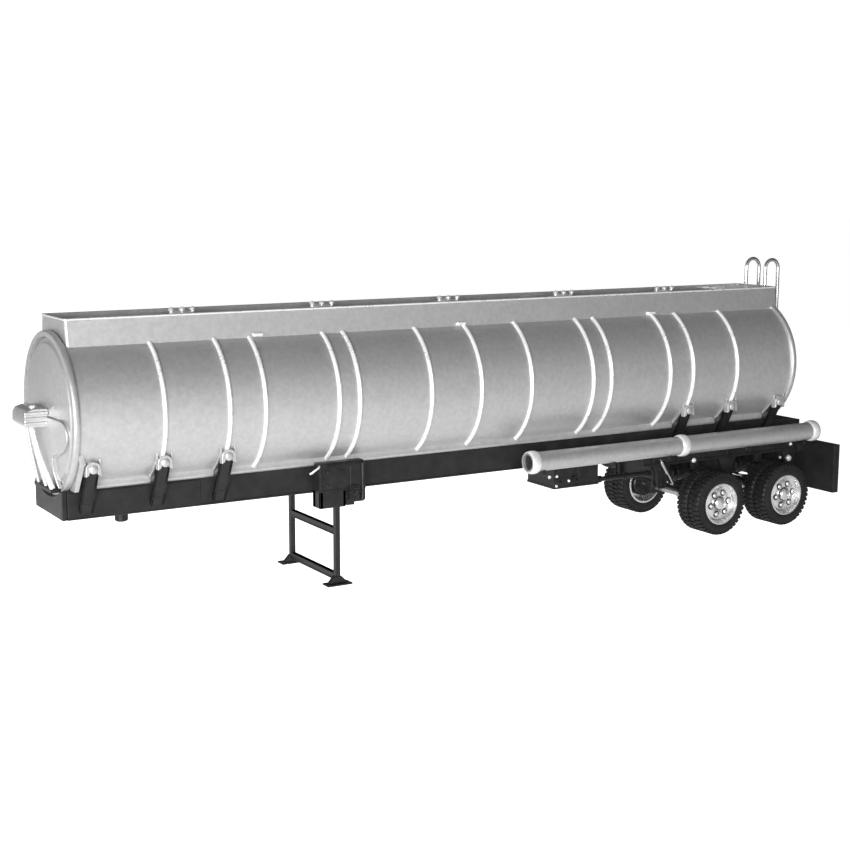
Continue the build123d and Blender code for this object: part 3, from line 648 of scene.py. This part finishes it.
# --- landing gear --------------------------------------------------------------------------------
def housing(flip):
    """One side's leg housing: hollow where the leg slides, with a skin, flanges and bolts outside."""
    foot, mid, top = 13.2, 15.9, 20.1
    lower = (foot, 16.0)
    front, rear = HOUSE_FRONT, HOUSE_REAR
    skin = [(8.86, mid), (9.3, mid), (9.3, 17.6), (9.05, top), (8.86, 20.3)]
    cap = [(7.2, 20.05), (9.05, 20.05), (8.7, 20.6), (7.2, 20.6)]
    inner, outer = span(flip, RAIL_OUT, 7.7), span(flip, 8.82, 9.3)
    core, full = span(flip, 7.6, 8.9), span(flip, RAIL_OUT, 9.3)
    shapes = [
        prism([(flip * y, z) for y, z in skin], "x", front, rear),
        prism([(flip * y, z) for y, z in cap], "x", front, rear),
        box((front, rear), inner, (mid, FRAME_TOP)),
        box((front, -30.45), core, (mid, top)),
        box((-29.15, rear), core, (mid, top)),
        box((front, -30.4), inner, lower),
        box((front, -32.7), full, lower),
        box((front, -28.6), outer, lower),
        box((-29.1, -28.6), full, lower),
        box((-28.6, rear), span(flip, RAIL_OUT, 9.0), (13.7, 16.0)),
        box((-28.4, -26.9), span(flip, RAIL_OUT, 9.2), (13.3, 14.4)),
        box((-33.45, -24.9), span(flip, 8.86, 9.42), (mid, 16.2)),
        box((-33.4, -32.9), span(flip, 9.1, 9.45), (16.2, FRAME_TOP)),
        tube([(-25.35, flip * 9.2, 14.0), (-25.35, flip * 9.2, 20.2)], 0.42, 12),
        tube([(-27.6, flip * 9.2, 16.4), (-27.6, flip * 9.2, 19.9)], 0.2, 10),
    ]
    for x, z in ((-31.9, 19.2), (-29.4, 19.2), (-31.9, 17.0), (-29.4, 17.0)):
        shapes.append(dome((x, z), "y", flip * 9.25, flip * 0.3, 0.26, 12))
    return shapes


def make_gearbox():
    """The crank's gearbox with a ring of ten teeth on its left face."""
    x, z, teeth, ring_r, half = -27.2, 15.6, 10, 0.95, 0.17
    gear = [
        box((-28.0, -26.3), (-9.8, -9.3), (14.4, 16.6)),
        lathe([(-9.8, 0), (-9.8, 0.75), (-10.0, 0.75), (-10.0, 0)], (x, z), "y", 24),
        tube([(x, -9.3, z), (x, -10.5, z)], 0.35, 14),
    ]
    for k in range(teeth):
        a = 2 * math.pi * k / teeth
        tooth_x = x + ring_r * math.cos(a)
        tooth_z = z + ring_r * math.sin(a)
        gear.append(box(around(tooth_x, half), (-10.0, -9.75), around(tooth_z, half)))
    piece("gearbox", gear, BLACK, ["leg_gearbox"], bevel=0.05)


def make_landing_gear():
    """Housings and gearbox on the frame, and the legs, feet and braces that slide in them."""
    half, gear = 0.45, "landing_gear"
    for side, flip in (("left", -1), ("right", 1)):
        piece(f"housing_{side}", housing(flip), BLACK, [f"leg_housing_{side}"], bevel=0.09)
        shaft = box(around(LEG_X, half), around(flip * LEG_Y, half), (0.9, 14.9))
        piece(f"leg_{side}", [shaft], BLACK, [f"landing_leg_{side}"], gear, bevel=0.08)
    make_gearbox()
    feet = []
    wedge = [(-31.4, 0.3), (-28.0, 0.3), (-29.25, 1.5), (-30.35, 1.5)]
    for flip in (-1, 1):
        feet += [
            box((-32.1, -27.5), span(flip, 7.4, 9.6), (0.0, 0.32)),
            prism(wedge, "y", *span(flip, 7.8, 8.9)),
            tube([(-30.6, flip * 8.4, 1.1), (-29.0, flip * 8.4, 1.1)], 0.25, 12),
        ]
    piece("feet", feet, BLACK, ["landing_feet"], gear, bevel=0.09)
    across, flange_x = (-7.87, 7.87), (-30.3, -29.3)
    for level, low, high in (("upper", 8.4, 9.5), ("lower", 0.8, 1.9)):
        brace = [
            box((-30.2, -29.4), across, (low, high)),
            box(flange_x, across, (high - 0.25, high)),
            box(flange_x, across, (low, low + 0.25)),
        ]
        piece(f"brace_{level}", brace, BLACK, [f"landing_brace_{level}"], gear, bevel=0.06)
    crank = [(-33.2, -8.9, 20.2), (-33.6, -9.7, 20.2), (-34.9, -9.7, 19.4), (-35.0, -9.2, 19.2)]
    piece("crank", [tube(rounded(crank, 0.3, 4), 0.17, 10)], BRIGHT)


# --- wheels --------------------------------------------------------------------------------------
def tyre_carcass(spot, mid, half):
    """A tyre's body with rounded shoulders, and a thin ring on each side wall."""
    section = []
    for share, r in ((0.86, 3.85), (0.98, 4.2), (1, 4.7), (0.95, 5.2), (0.82, 5.6), (0.55, 5.74), (0, 5.78)):
        section.append((mid - half * share, r))
    section += [(2 * mid - t, r) for t, r in section[-2::-1]]
    shapes = [lathe(section, spot, "y", 96)]
    for sign in (-1, 1):
        edge = mid + sign * half
        ring = [(edge - sign * 0.12, 4.45), (edge, 4.52), (edge - sign * 0.12, 4.6)]
        shapes.append(lathe(ring, spot, "y", 96))
    return shapes


def tread_block(x, mid, half, sign, angle):
    """One tread block, wrapped over a shoulder and slanted a little."""
    wide, tread_r, slant = 0.30, 6.0, 0.02
    inner, bend, outer = [mid + sign * half * share for share in (0.06, 0.72, 0.93)]
    points = []
    for t, r in ((inner, 5.6), (inner, tread_r), (bend, tread_r), (outer, 5.78), (outer, 5.2)):
        for side in (-1, 1):
            a = angle + side * wide / tread_r + (t - mid) * slant
            points.append((x + r * math.sin(a), t, AXLE_Z + r * math.cos(a)))
    faces = [(0, 2, 4, 6, 8), (1, 3, 5, 7, 9), (8, 9, 1, 0)]
    faces += [(2 * i, 2 * i + 1, 2 * i + 3, 2 * i + 2) for i in range(4)]
    return points, faces


def tyre(x, low, high):
    """A tyre between two widths, with two staggered rows of tread blocks."""
    count = 40
    mid = (low + high) / 2
    half = (high - low) / 2
    shapes = tyre_carcass((x, AXLE_Z), mid, half)
    for row, sign in enumerate((-1, 1)):
        for k in range(count):
            shapes.append(tread_block(x, mid, half, sign, 2 * math.pi * (k + 0.5 * row) / count))
    return shapes


OUTER_DISC = [(11.22, 0.64), (11.22, 2.6), (12.7, 2.6), (12.88, 3.35), (11.33, 3.35), (11.33, 3.92),
              (14.23, 3.92), (14.3, 3.78), (14.27, 3.6), (13.9, 3.45), (13.5, 3.25), (13.36, 3.0),
              (13.4, 2.8), (13.55, 2.6), (13.6, 2.35), (13.6, 1.6), (13.5, 1.4), (13.55, 1.2), (14.0, 1.1),
              (14.15, 0.95), (14.23, 0.7), (14.23, 0), (13.33, 0), (13.33, 0.64)]
INNER_DISC = [(11.22, 0.66), (11.22, 2.6), (11.11, 2.6), (11.11, 3.92), (8.21, 3.92), (8.14, 3.8),
              (8.14, 3.62), (8.4, 3.5), (9.6, 3.3), (10.3, 2.9), (10.3, 0.66)]
DRUM = [(10.2, 0.7), (10.2, 2.5), (8.7, 2.5), (8.5, 2.3), (8.5, 1.2), (8.0, 1.1), (8.0, 0.7)]


def make_wheelset(end, x):
    """Dual tyres, wheel discs, hubs, drums and the axle of one wheelset."""
    body = f"{end}_wheelset"
    spot = (x, AXLE_Z)
    face, studs, stud_ring = 13.5, 6, 2.12
    right = tyre(x, 11.33, 14.33) + tyre(x, 8.11, 11.11)
    piece(f"{end}_tyres_r", right, TYRE, [f"{end}_tyres_right"], body, smooth=28)
    piece(f"{end}_tyres_l", mirror(right), TYRE, [f"{end}_tyres_left"], body, smooth=28)
    disc, seals = [lathe(OUTER_DISC, spot, "y", 96)], []
    for k in range(studs):
        a = 2 * math.pi * (k + 0.35) / studs
        stud = (x + stud_ring * math.sin(a), AXLE_Z + stud_ring * math.cos(a))
        disc.append(dome(stud, "y", face, 0.5, 0.44, 20, 0.15))
        seals.append(lathe([(face, 0.4), (face, 0.64), (13.64, 0.64), (13.64, 0.4)], stud, "y", 24))
    seals.append(lathe([(face, 1.05), (face, 1.32), (13.66, 1.32), (13.66, 1.05)], spot, "y", 40))
    disc.append(dome(spot, "y", 14.2, 0.1, 0.5, 24))
    piece(f"{end}_wheel_discs", both(disc), DISC, [f"{end}_outer_rims"], body, smooth=30)
    piece(f"{end}_hub_seals", both(seals), BLACK, (), body)
    piece(f"{end}_inner_discs", both([lathe(INNER_DISC, spot, "y", 96)]), DISC, [f"{end}_inner_rims"], body)
    piece(f"{end}_drums", both([lathe(DRUM, spot, "y", 64)]), BLACK, (), body)
    axle = [(-13.33, 0), (-13.33, 0.65), (13.33, 0.65), (13.33, 0)]
    piece(f"{end}_axle_bar", [lathe(axle, spot, "y", 32)], STEEL, [f"{end}_axle"], body)


# --- suspension ----------------------------------------------------------------------------------
def leaf_spring(x):
    """Four curved leaves over an axle, their two U-bolts and the pad on top."""
    longest, sag, thick = 6.9, 1.6, 0.2
    shapes = []
    for level, reach in enumerate((longest, 6.1, 4.6, 3.0)):
        base = 0.72 - 0.24 * level
        upper = []
        for k in range(17):
            along = reach * (k / 8 - 1)
            upper.append((x + along, 7.7 + sag * (along / longest) ** 2 + base + thick))
        lower = [(px, pz - thick) for px, pz in upper[::-1]]
        shapes.append(prism(upper + lower, "y", 5.25, 6.35))
    for side in (x - 0.8, x + 0.8):
        path = [(side, 5.1, 7.0), (side, 5.1, 9.0), (side, 6.5, 9.0), (side, 6.5, 7.0)]
        shapes.append(tube(rounded(path, 0.3, 4), 0.14, 8))
    shapes.append(box(around(x, 1.1), (5.2, 6.4), (8.5, 8.95)))
    return shapes


def bearing_block(x):
    """A square block round the axle, open at its middle, with a bush."""
    across, half = (4.9, 6.7), 1.2
    return [
        box(around(x, half), across, (6.9, 7.7)),
        box(around(x, half), across, (4.7, 5.2)),
        box((x - half, x - 0.75), across, (5.1, 7.0)),
        box((x + 0.75, x + half), across, (5.1, 7.0)),
        lathe([(5.0, 0.72), (5.0, 1.05), (6.6, 1.05), (6.6, 0.72)], (x, AXLE_Z), "y", 24),
    ]


def hanger(low, high):
    """A spring hanger: two cheeks, a web between them and a pin."""
    mid, top = (low + high) / 2, SUB_BOTTOM
    cheek = [(low - 0.8, top), (high + 0.8, top), (high, 11.2), (high, 9.0), (high - 0.5, 8.4),
             (low + 0.5, 8.4), (low, 9.0), (low, 11.2)]
    web = [(low + 0.3, top), (high - 0.3, top), (high - 0.3, 9.6), (low + 0.3, 9.6)]
    return [
        prism(cheek, "y", 4.9, 5.2),
        prism(cheek, "y", 6.2, 6.5),
        prism(web, "y", 5.2, 6.2),
        tube([(mid, 4.85, 9.3), (mid, 6.62, 9.3)], 0.42, 14),
    ]


def brake_chamber(x, y):
    """A brake chamber behind an axle and the bracket that it hangs from."""
    can = [(1.2, 0), (1.2, 1.2), (1.5, 1.6), (2.6, 1.6), (2.7, 1.75), (2.95, 1.75), (3.05, 1.6), (4.2, 1.6),
           (4.5, 1.2), (4.5, 0)]
    return [
        lathe([(x + along, r) for along, r in can], (y, 8.9), "x", 32),
        box((x + 2.2, x + 3.4), around(y, 0.5), (10.2, FRAME_BOTTOM)),
    ]


def make_suspension():
    """Springs, bearings, arms, hangers and brake chambers."""
    springs, bearings, arms, chambers, hangers = [], [], [], [], []
    for _, x in AXLES:
        springs += both(leaf_spring(x))
        bearings += both(bearing_block(x))
        arm = [(x - 8.5, 8.9), (x - 7.5, 9.7), (x - 0.4, 7.6), (x - 0.9, 6.9)]
        arms += both([prism(arm, "y", 4.2, 4.9)])
        chambers += brake_chamber(x, -3.0) + brake_chamber(x, 3.0)
    for low, high in HANGERS:
        hangers += both(hanger(low, high))
    piece("brake_chambers", chambers, BLACK, bevel=0.05)
    piece("leaf_packs", springs, BLACK, ["leaf_springs"], bevel=0.04)
    piece("bearing_blocks", bearings, BLACK, ["axle_bearings"], bevel=0.07)
    piece("hanger_brackets", hangers, BLACK, ["spring_hangers"], bevel=0.08)
    piece("trailing_arms", arms, BLACK, ["torque_arms"], bevel=0.08)


def make_subframe():
    """The rails and cross beams between the springs and the frame, and a damper on each side."""
    rails = both([
        box(SUB_X, (4.9, 6.5), (SUB_BOTTOM, 13.3)),
        box(SUB_X, (4.9, 6.5), (15.1, FRAME_BOTTOM)),
        box(SUB_X, (4.9, 6.2), (13.2, 15.2)),
    ])
    for x in (38.6, 44.7, 50.8, 57, 63, 69, 74.4):
        rails += both([box(around(x, 0.25), (6.1, 6.45), (13.3, 15.1))])
    piece("subframe", rails, BLACK, ["subframe_rails"], bevel=0.07)
    beams = [box(around(x, 0.5), (-4.9, 4.9), (9.9, FRAME_BOTTOM)) for x in (40.64, 57.02, 73.41)]
    piece("subframe_beams", beams, BLACK, ["subframe_crossmembers"], bevel=0.08)
    top, foot = (39.7, 14.1), (43.0, 9.2)
    dampers = both([
        tube([(39.9, 7.0, 13.7), (41.4, 7.0, 11.4)], 0.36, 14),
        tube([(top[0], 7.0, top[1]), (foot[0], 7.0, foot[1])], 0.22, 12),
        tube([(top[0], 6.4, top[1]), (top[0], 7.2, top[1])], 0.3, 12),
        tube([(foot[0], 6.3, foot[1]), (foot[0], 7.2, foot[1])], 0.3, 12),
    ])
    piece("dampers", dampers, STEEL)


# --- hose tube -----------------------------------------------------------------------------------
def collar(start):
    """A rounded swelling round the hose tube."""
    half, swell, under = 0.9, 0.35, HOSE_R - 0.01
    mid = start + half
    line = [(mid - half * math.cos(a), HOSE_R + swell * math.sin(a) ** 0.7) for a in angles(15, 1, 11)]
    return lathe([(mid - half, under)] + line + [(mid + half, under)], (HOSE_Y, HOSE_Z), "x", 64)


def hose_arm(x):
    """A bracket from the frame that the hose tube lies in."""
    cradle_r = 1.72
    half = 0.35
    line = []
    for k in range(12):
        a = math.radians(-15 - 10 * k)
        line.append((HOSE_Y + cradle_r * math.cos(a), HOSE_Z + cradle_r * math.sin(a)))
    arm = [(-RAIL_OUT, 17.5)] + line + [(-13.0, 15.4), (-12.6, 15.0), (-10.6, 15.0), (-RAIL_OUT, 15.8)]
    return [prism(arm, "x", x - half, x + half), box(around(x, 0.5), (-7.0, -RAIL_OUT), (15.8, 17.5))]


def make_hose_tubes():
    """Two hose tubes end to end on the left, with collars, caps and brackets."""
    hose, inner_r = (HOSE_Y, HOSE_Z), 1.4
    start, joint, end = 5.7, 40.35, 74.3
    tubes = []
    for low, high in ((start, joint), (joint, end)):
        wall = [(low, HOSE_R), (high, HOSE_R), (high, inner_r), (low, inner_r)]
        tubes.append(lathe(wall, hose, "x", 64))
    piece("hose_carriers", tubes, SILVER, ["hose_tubes"])
    caps = []
    for face, sign in ((6.15, -1), (73.85, 1)):
        back = face - sign * 0.6
        profile = [(face, 0), (face + sign * 0.12, 0.3), (face + sign * 0.05, 1.1), (face, 1.39),
                   (back, 1.39), (back, 0)]
        caps.append(lathe(profile, hose, "x", 40))
    piece("hose_collars", [collar(x) for x in (start, 39.45, 72.5)], BRIGHT, ["hose_tube_collars"])
    piece("hose_caps", caps, BLACK, ["hose_tube_caps"])
    arms = []
    for x in (8.6, 24, 37, 56, 71):
        arms += hose_arm(x)
    piece("hose_arms", arms, BLACK, ["hose_tube_brackets"], bevel=0.06)


# --- fittings ------------------------------------------------------------------------------------
def make_cabinet():
    """The valve cabinet under the frame, with two doors on each side."""
    low_z, high_z = 10.3, FRAME_BOTTOM
    band_x, band_y = (17.0, 27.3), (-4.28, 4.28)
    cabinet = [
        box((17.1, 27.2), (-4.15, 4.15), (low_z, high_z)),
        box(band_x, band_y, (14.9, high_z)),
        box(band_x, band_y, (low_z, 10.75)),
    ]
    for low, high in ((17.5, 22.0), (22.3, 26.8)):
        door = box((low, high), (4.1, 4.28), (11.0, 14.7))
        panel = box((low + 0.4, high - 0.4), (4.2, 4.38), (11.4, 14.3))
        cabinet += both([door, panel])
    piece("cabinet", cabinet, BLACK, ["valve_cabinet"], bevel=0.1)


def make_drains():
    """Two outlets on the cabinet's left and a pipe with three collars behind it."""
    pipe_y, pipe_z = -3.2, 10.95
    outlet = [(-4.2, 0), (-4.2, 0.45), (-4.6, 0.45), (-4.65, 0.6), (-4.98, 0.6), (-4.98, 0.3),
              (-4.6, 0.25), (-4.6, 0)]
    drains = [lathe(outlet, (x, 11.9), "y", 20) for x in (18.0, 21.6)]
    drains.append(tube([(27.2, pipe_y, pipe_z), (40.1, pipe_y, pipe_z)], 0.45, 14))
    for x in (28.0, 34.0, 39.0):
        ring = [(x, 0.4), (x, 0.65), (x + 0.5, 0.65), (x + 0.5, 0.4)]
        drains.append(lathe(ring, (pipe_y, pipe_z), "x", 20))
    piece("drains", drains, BLACK, ["drain_fittings"])


def make_mud_flap():
    """The flap across the rear, ribbed on its back, and the bracket that holds it."""
    flap = [box((77.6, 79.1), (-14.4, 14.4), (5.1, 14.7)), box((77.5, 77.7), (-14.2, 14.2), (13.9, 14.5))]
    for y in (-10.6, 10.6):
        flap += [box((79.0, 79.1), around(y, 2.6), (8.6 + 1.5 * k, 9.3 + 1.5 * k)) for k in range(3)]
    piece("flap", flap, BLACK, ["mud_flap"], bevel=0.08)
    across, foot, top = (-6.5, 6.5), 12.2, 16.6
    bracket = [
        box((FRAME_REAR, 77.5), across, (15.9, top)),
        box((FRAME_REAR, 76.2), across, (foot, top)),
        box((77.0, 77.5), across, (foot, top)),
    ]
    bracket += [box((76.1, 77.1), around(y, 0.3), (12.4, 16.0)) for y in (-6.2, -2, 2, 6.2)]
    piece("flap_bracket", bracket, BLACK, ["mud_flap_bracket"], bevel=0.08)


def make_bolts():
    """Bright bolt heads on the left of the subframe, hangers and cabinet, and one on the cabinet's front."""
    bolts = [
        dome((48.2, 13.2), "y", -6.6, -0.5, 0.5, 16, 0.15),
        dome((73.1, 11.3), "y", -6.5, -0.6, 0.62, 16, 0.2),
        dome((73.6, 14.1), "y", -6.4, -0.45, 0.35, 14, 0.1),
        dome((71.0, 11.6), "y", -6.3, -0.3, 0.3, 12, 0.1),
        dome((17.6, 12.7), "y", -4.3, -0.35, 0.3, 12, 0.1),
        dome((17.6, 10.9), "y", -4.2, -0.35, 0.28, 12, 0.1),
        dome((20.3, 11.65), "y", -4.3, -0.35, 0.3, 12, 0.1),
        dome((-2.9, 12.4), "x", 17.1, -0.4, 0.35, 14, 0.1),
    ]
    piece("bolts", bolts, BRIGHT)


make_tank()
make_guard()
make_lamp_box()
make_conduits()
make_coaming()
make_hatches()
make_ladder()
make_frame()
make_coupler()
make_saddles()
make_landing_gear()
for end, axle_x in AXLES:
    make_wheelset(end, axle_x)
make_suspension()
make_subframe()
make_hose_tubes()
make_cabinet()
make_drains()
make_mud_flap()
make_bolts()


# --- stage ---------------------------------------------------------------------------------------
def staged(name, shape, material):
    """A mesh of the studio, which isn't part of the trailer."""
    mesh = bpy.data.meshes.new(name)
    points, faces = shape
    mesh.from_pydata([tuple(c * MM for c in p) for p in points], [], faces)
    mesh.materials.append(material)
    made = bpy.data.objects.new(name, mesh)
    bpy.context.scene.collection.objects.link(made)
    return made


def ground(z):
    """A large square at a height."""
    reach = 3000
    corners = [(-reach, -reach), (reach, -reach), (reach, reach), (-reach, reach)]
    return [(x, y, z) for x, y in corners], [(0, 1, 2, 3)]


def paper(name, tones):
    """A matt material and its shader."""
    material = surface(name, tones, 0.0, 0.9, 30, 0.02)
    return material, material.node_tree.nodes["Principled BSDF"]


def make_floor():
    """The white ground that the camera sees. It neither lights the trailer nor shows in it."""
    material, shader = paper("floor_paper", (0.80, 0.82))
    shader.inputs["Emission Color"].default_value = grey(1)
    shader.inputs["Emission Strength"].default_value = 0.8
    floor = staged("floor", ground(-0.02), material)
    floor.visible_diffuse = False
    floor.visible_glossy = False


def make_bounce_card():
    """The ground's light on the trailer, less towards the rear and the far side. The camera can't see it."""
    material, shader = paper("bounce_card", (0.30, 0.34))
    nodes, links = material.node_tree.nodes, material.node_tree.links
    place = nodes.new("ShaderNodeTexCoord")
    split = nodes.new("ShaderNodeSeparateXYZ")
    links.new(place.outputs["Object"], split.inputs["Vector"])
    along = map_range(nodes, (-0.1, 0.4), (0, 1))
    fade = ramp(nodes, ((0.0, 1), (0.15, 0.95), (0.35, 0.42), (0.55, 0.1), (1.0, 0.1)))
    away = map_range(nodes, (0.08, 0.35), (0.95, 0.3))
    links.new(split.outputs["X"], along.inputs["Value"])
    links.new(along.outputs["Result"], fade.inputs["Fac"])
    links.new(fade.outputs["Color"], shader.inputs["Emission Color"])
    links.new(split.outputs["Y"], away.inputs["Value"])
    links.new(away.outputs["Result"], shader.inputs["Emission Strength"])
    bounce = staged("bounce", ground(-0.01), material)
    bounce.visible_camera = False
    bounce.visible_shadow = False


def make_backdrop():
    """A white drum round everything, with a flat lid. Only the camera sees it."""
    material, shader = paper("backdrop_paper", (0.80, 0.82))
    shader.inputs["Emission Color"].default_value = grey(1)
    shader.inputs["Emission Strength"].default_value = 1.2
    radius, height, thick, foot = 2900, 2500, 5, -5
    section = [(foot, radius), (height, radius), (height, 0), (height + thick, 0),
               (height + thick, radius + thick), (foot, radius + thick)]
    backdrop = staged("backdrop", lathe(section, (0, 0), "z", 64), material)
    backdrop.visible_diffuse = False
    backdrop.visible_glossy = False
    backdrop.visible_shadow = False


def multiplied(nodes, links, first, second):
    """The product of two colours."""
    mix = nodes.new("ShaderNodeMix")
    mix.data_type = "RGBA"
    mix.blend_type = "MULTIPLY"
    mix.inputs["Factor"].default_value = 1.0
    links.new(first, mix.inputs["A"])
    links.new(second, mix.inputs["B"])
    return mix.outputs["Result"]


def make_sky():
    """The studio's light from all round, graded along each axis."""
    world = bpy.data.worlds.new("Studio")
    bpy.context.scene.world = world
    world.use_nodes = True
    nodes, links = world.node_tree.nodes, world.node_tree.links
    background = nodes["Background"]
    background.inputs["Strength"].default_value = 1.0
    place = nodes.new("ShaderNodeTexCoord")
    split = nodes.new("ShaderNodeSeparateXYZ")
    links.new(place.outputs["Generated"], split.inputs["Vector"])
    grades = {
        "Z": ramp(nodes, ((0.0, 1.0), (0.15, 1.0), (0.35, 0.5), (0.6, 0.25), (1.0, 0.12))),
        "X": ramp(nodes, ((0.0, 0.75), (0.28, 1.0), (0.5, 0.48), (0.7, 0.08), (1.0, 0.05))),
        "Y": ramp(nodes, ((0.6, 1), (0.95, 0.35))),
    }
    for axis, grade in grades.items():
        links.new(split.outputs[axis], grade.inputs["Fac"])
    z_and_x = multiplied(nodes, links, grades["Z"].outputs["Color"], grades["X"].outputs["Color"])
    links.new(multiplied(nodes, links, z_and_x, grades["Y"].outputs["Color"]), background.inputs["Color"])


def make_key_light():
    """A soft lamp low in front of the nose, on the near side."""
    place, aim = Vector((-0.38, -0.42, 0.07)), Vector((-0.05, 0, 0.03))
    light = bpy.data.lights.new("key", "AREA")
    light.shape = "RECTANGLE"
    light.size = 0.3
    light.size_y = 0.16
    light.energy = 4.0
    made = bpy.data.objects.new("key", light)
    made.location = place
    made.rotation_euler = (aim - place).to_track_quat("-Z", "Y").to_euler()
    bpy.context.scene.collection.objects.link(made)


def make_camera():
    """The camera where the photographer's stood, rolled a little."""
    place, aim, roll = Vector((-0.14187, -0.22147, 0.06578)), Vector((-0.007871, 0, 0.023675)), 0.16
    camera = bpy.data.cameras.new("Camera")
    camera.lens = 63.555
    camera.sensor_width = 36
    camera.clip_start = 0.01
    camera.clip_end = 20
    eye = bpy.data.objects.new("Camera", camera)
    eye.location = place
    level = (aim - place).to_track_quat("-Z", "Y").to_matrix()
    eye.rotation_euler = (level @ Matrix.Rotation(math.radians(roll), 3, "Z")).to_euler()
    bpy.context.scene.collection.objects.link(eye)
    bpy.context.scene.camera = eye


make_floor()
make_bounce_card()
make_backdrop()
make_sky()
make_key_light()
make_camera()
bpy.context.scene.view_settings.view_transform = "Standard"
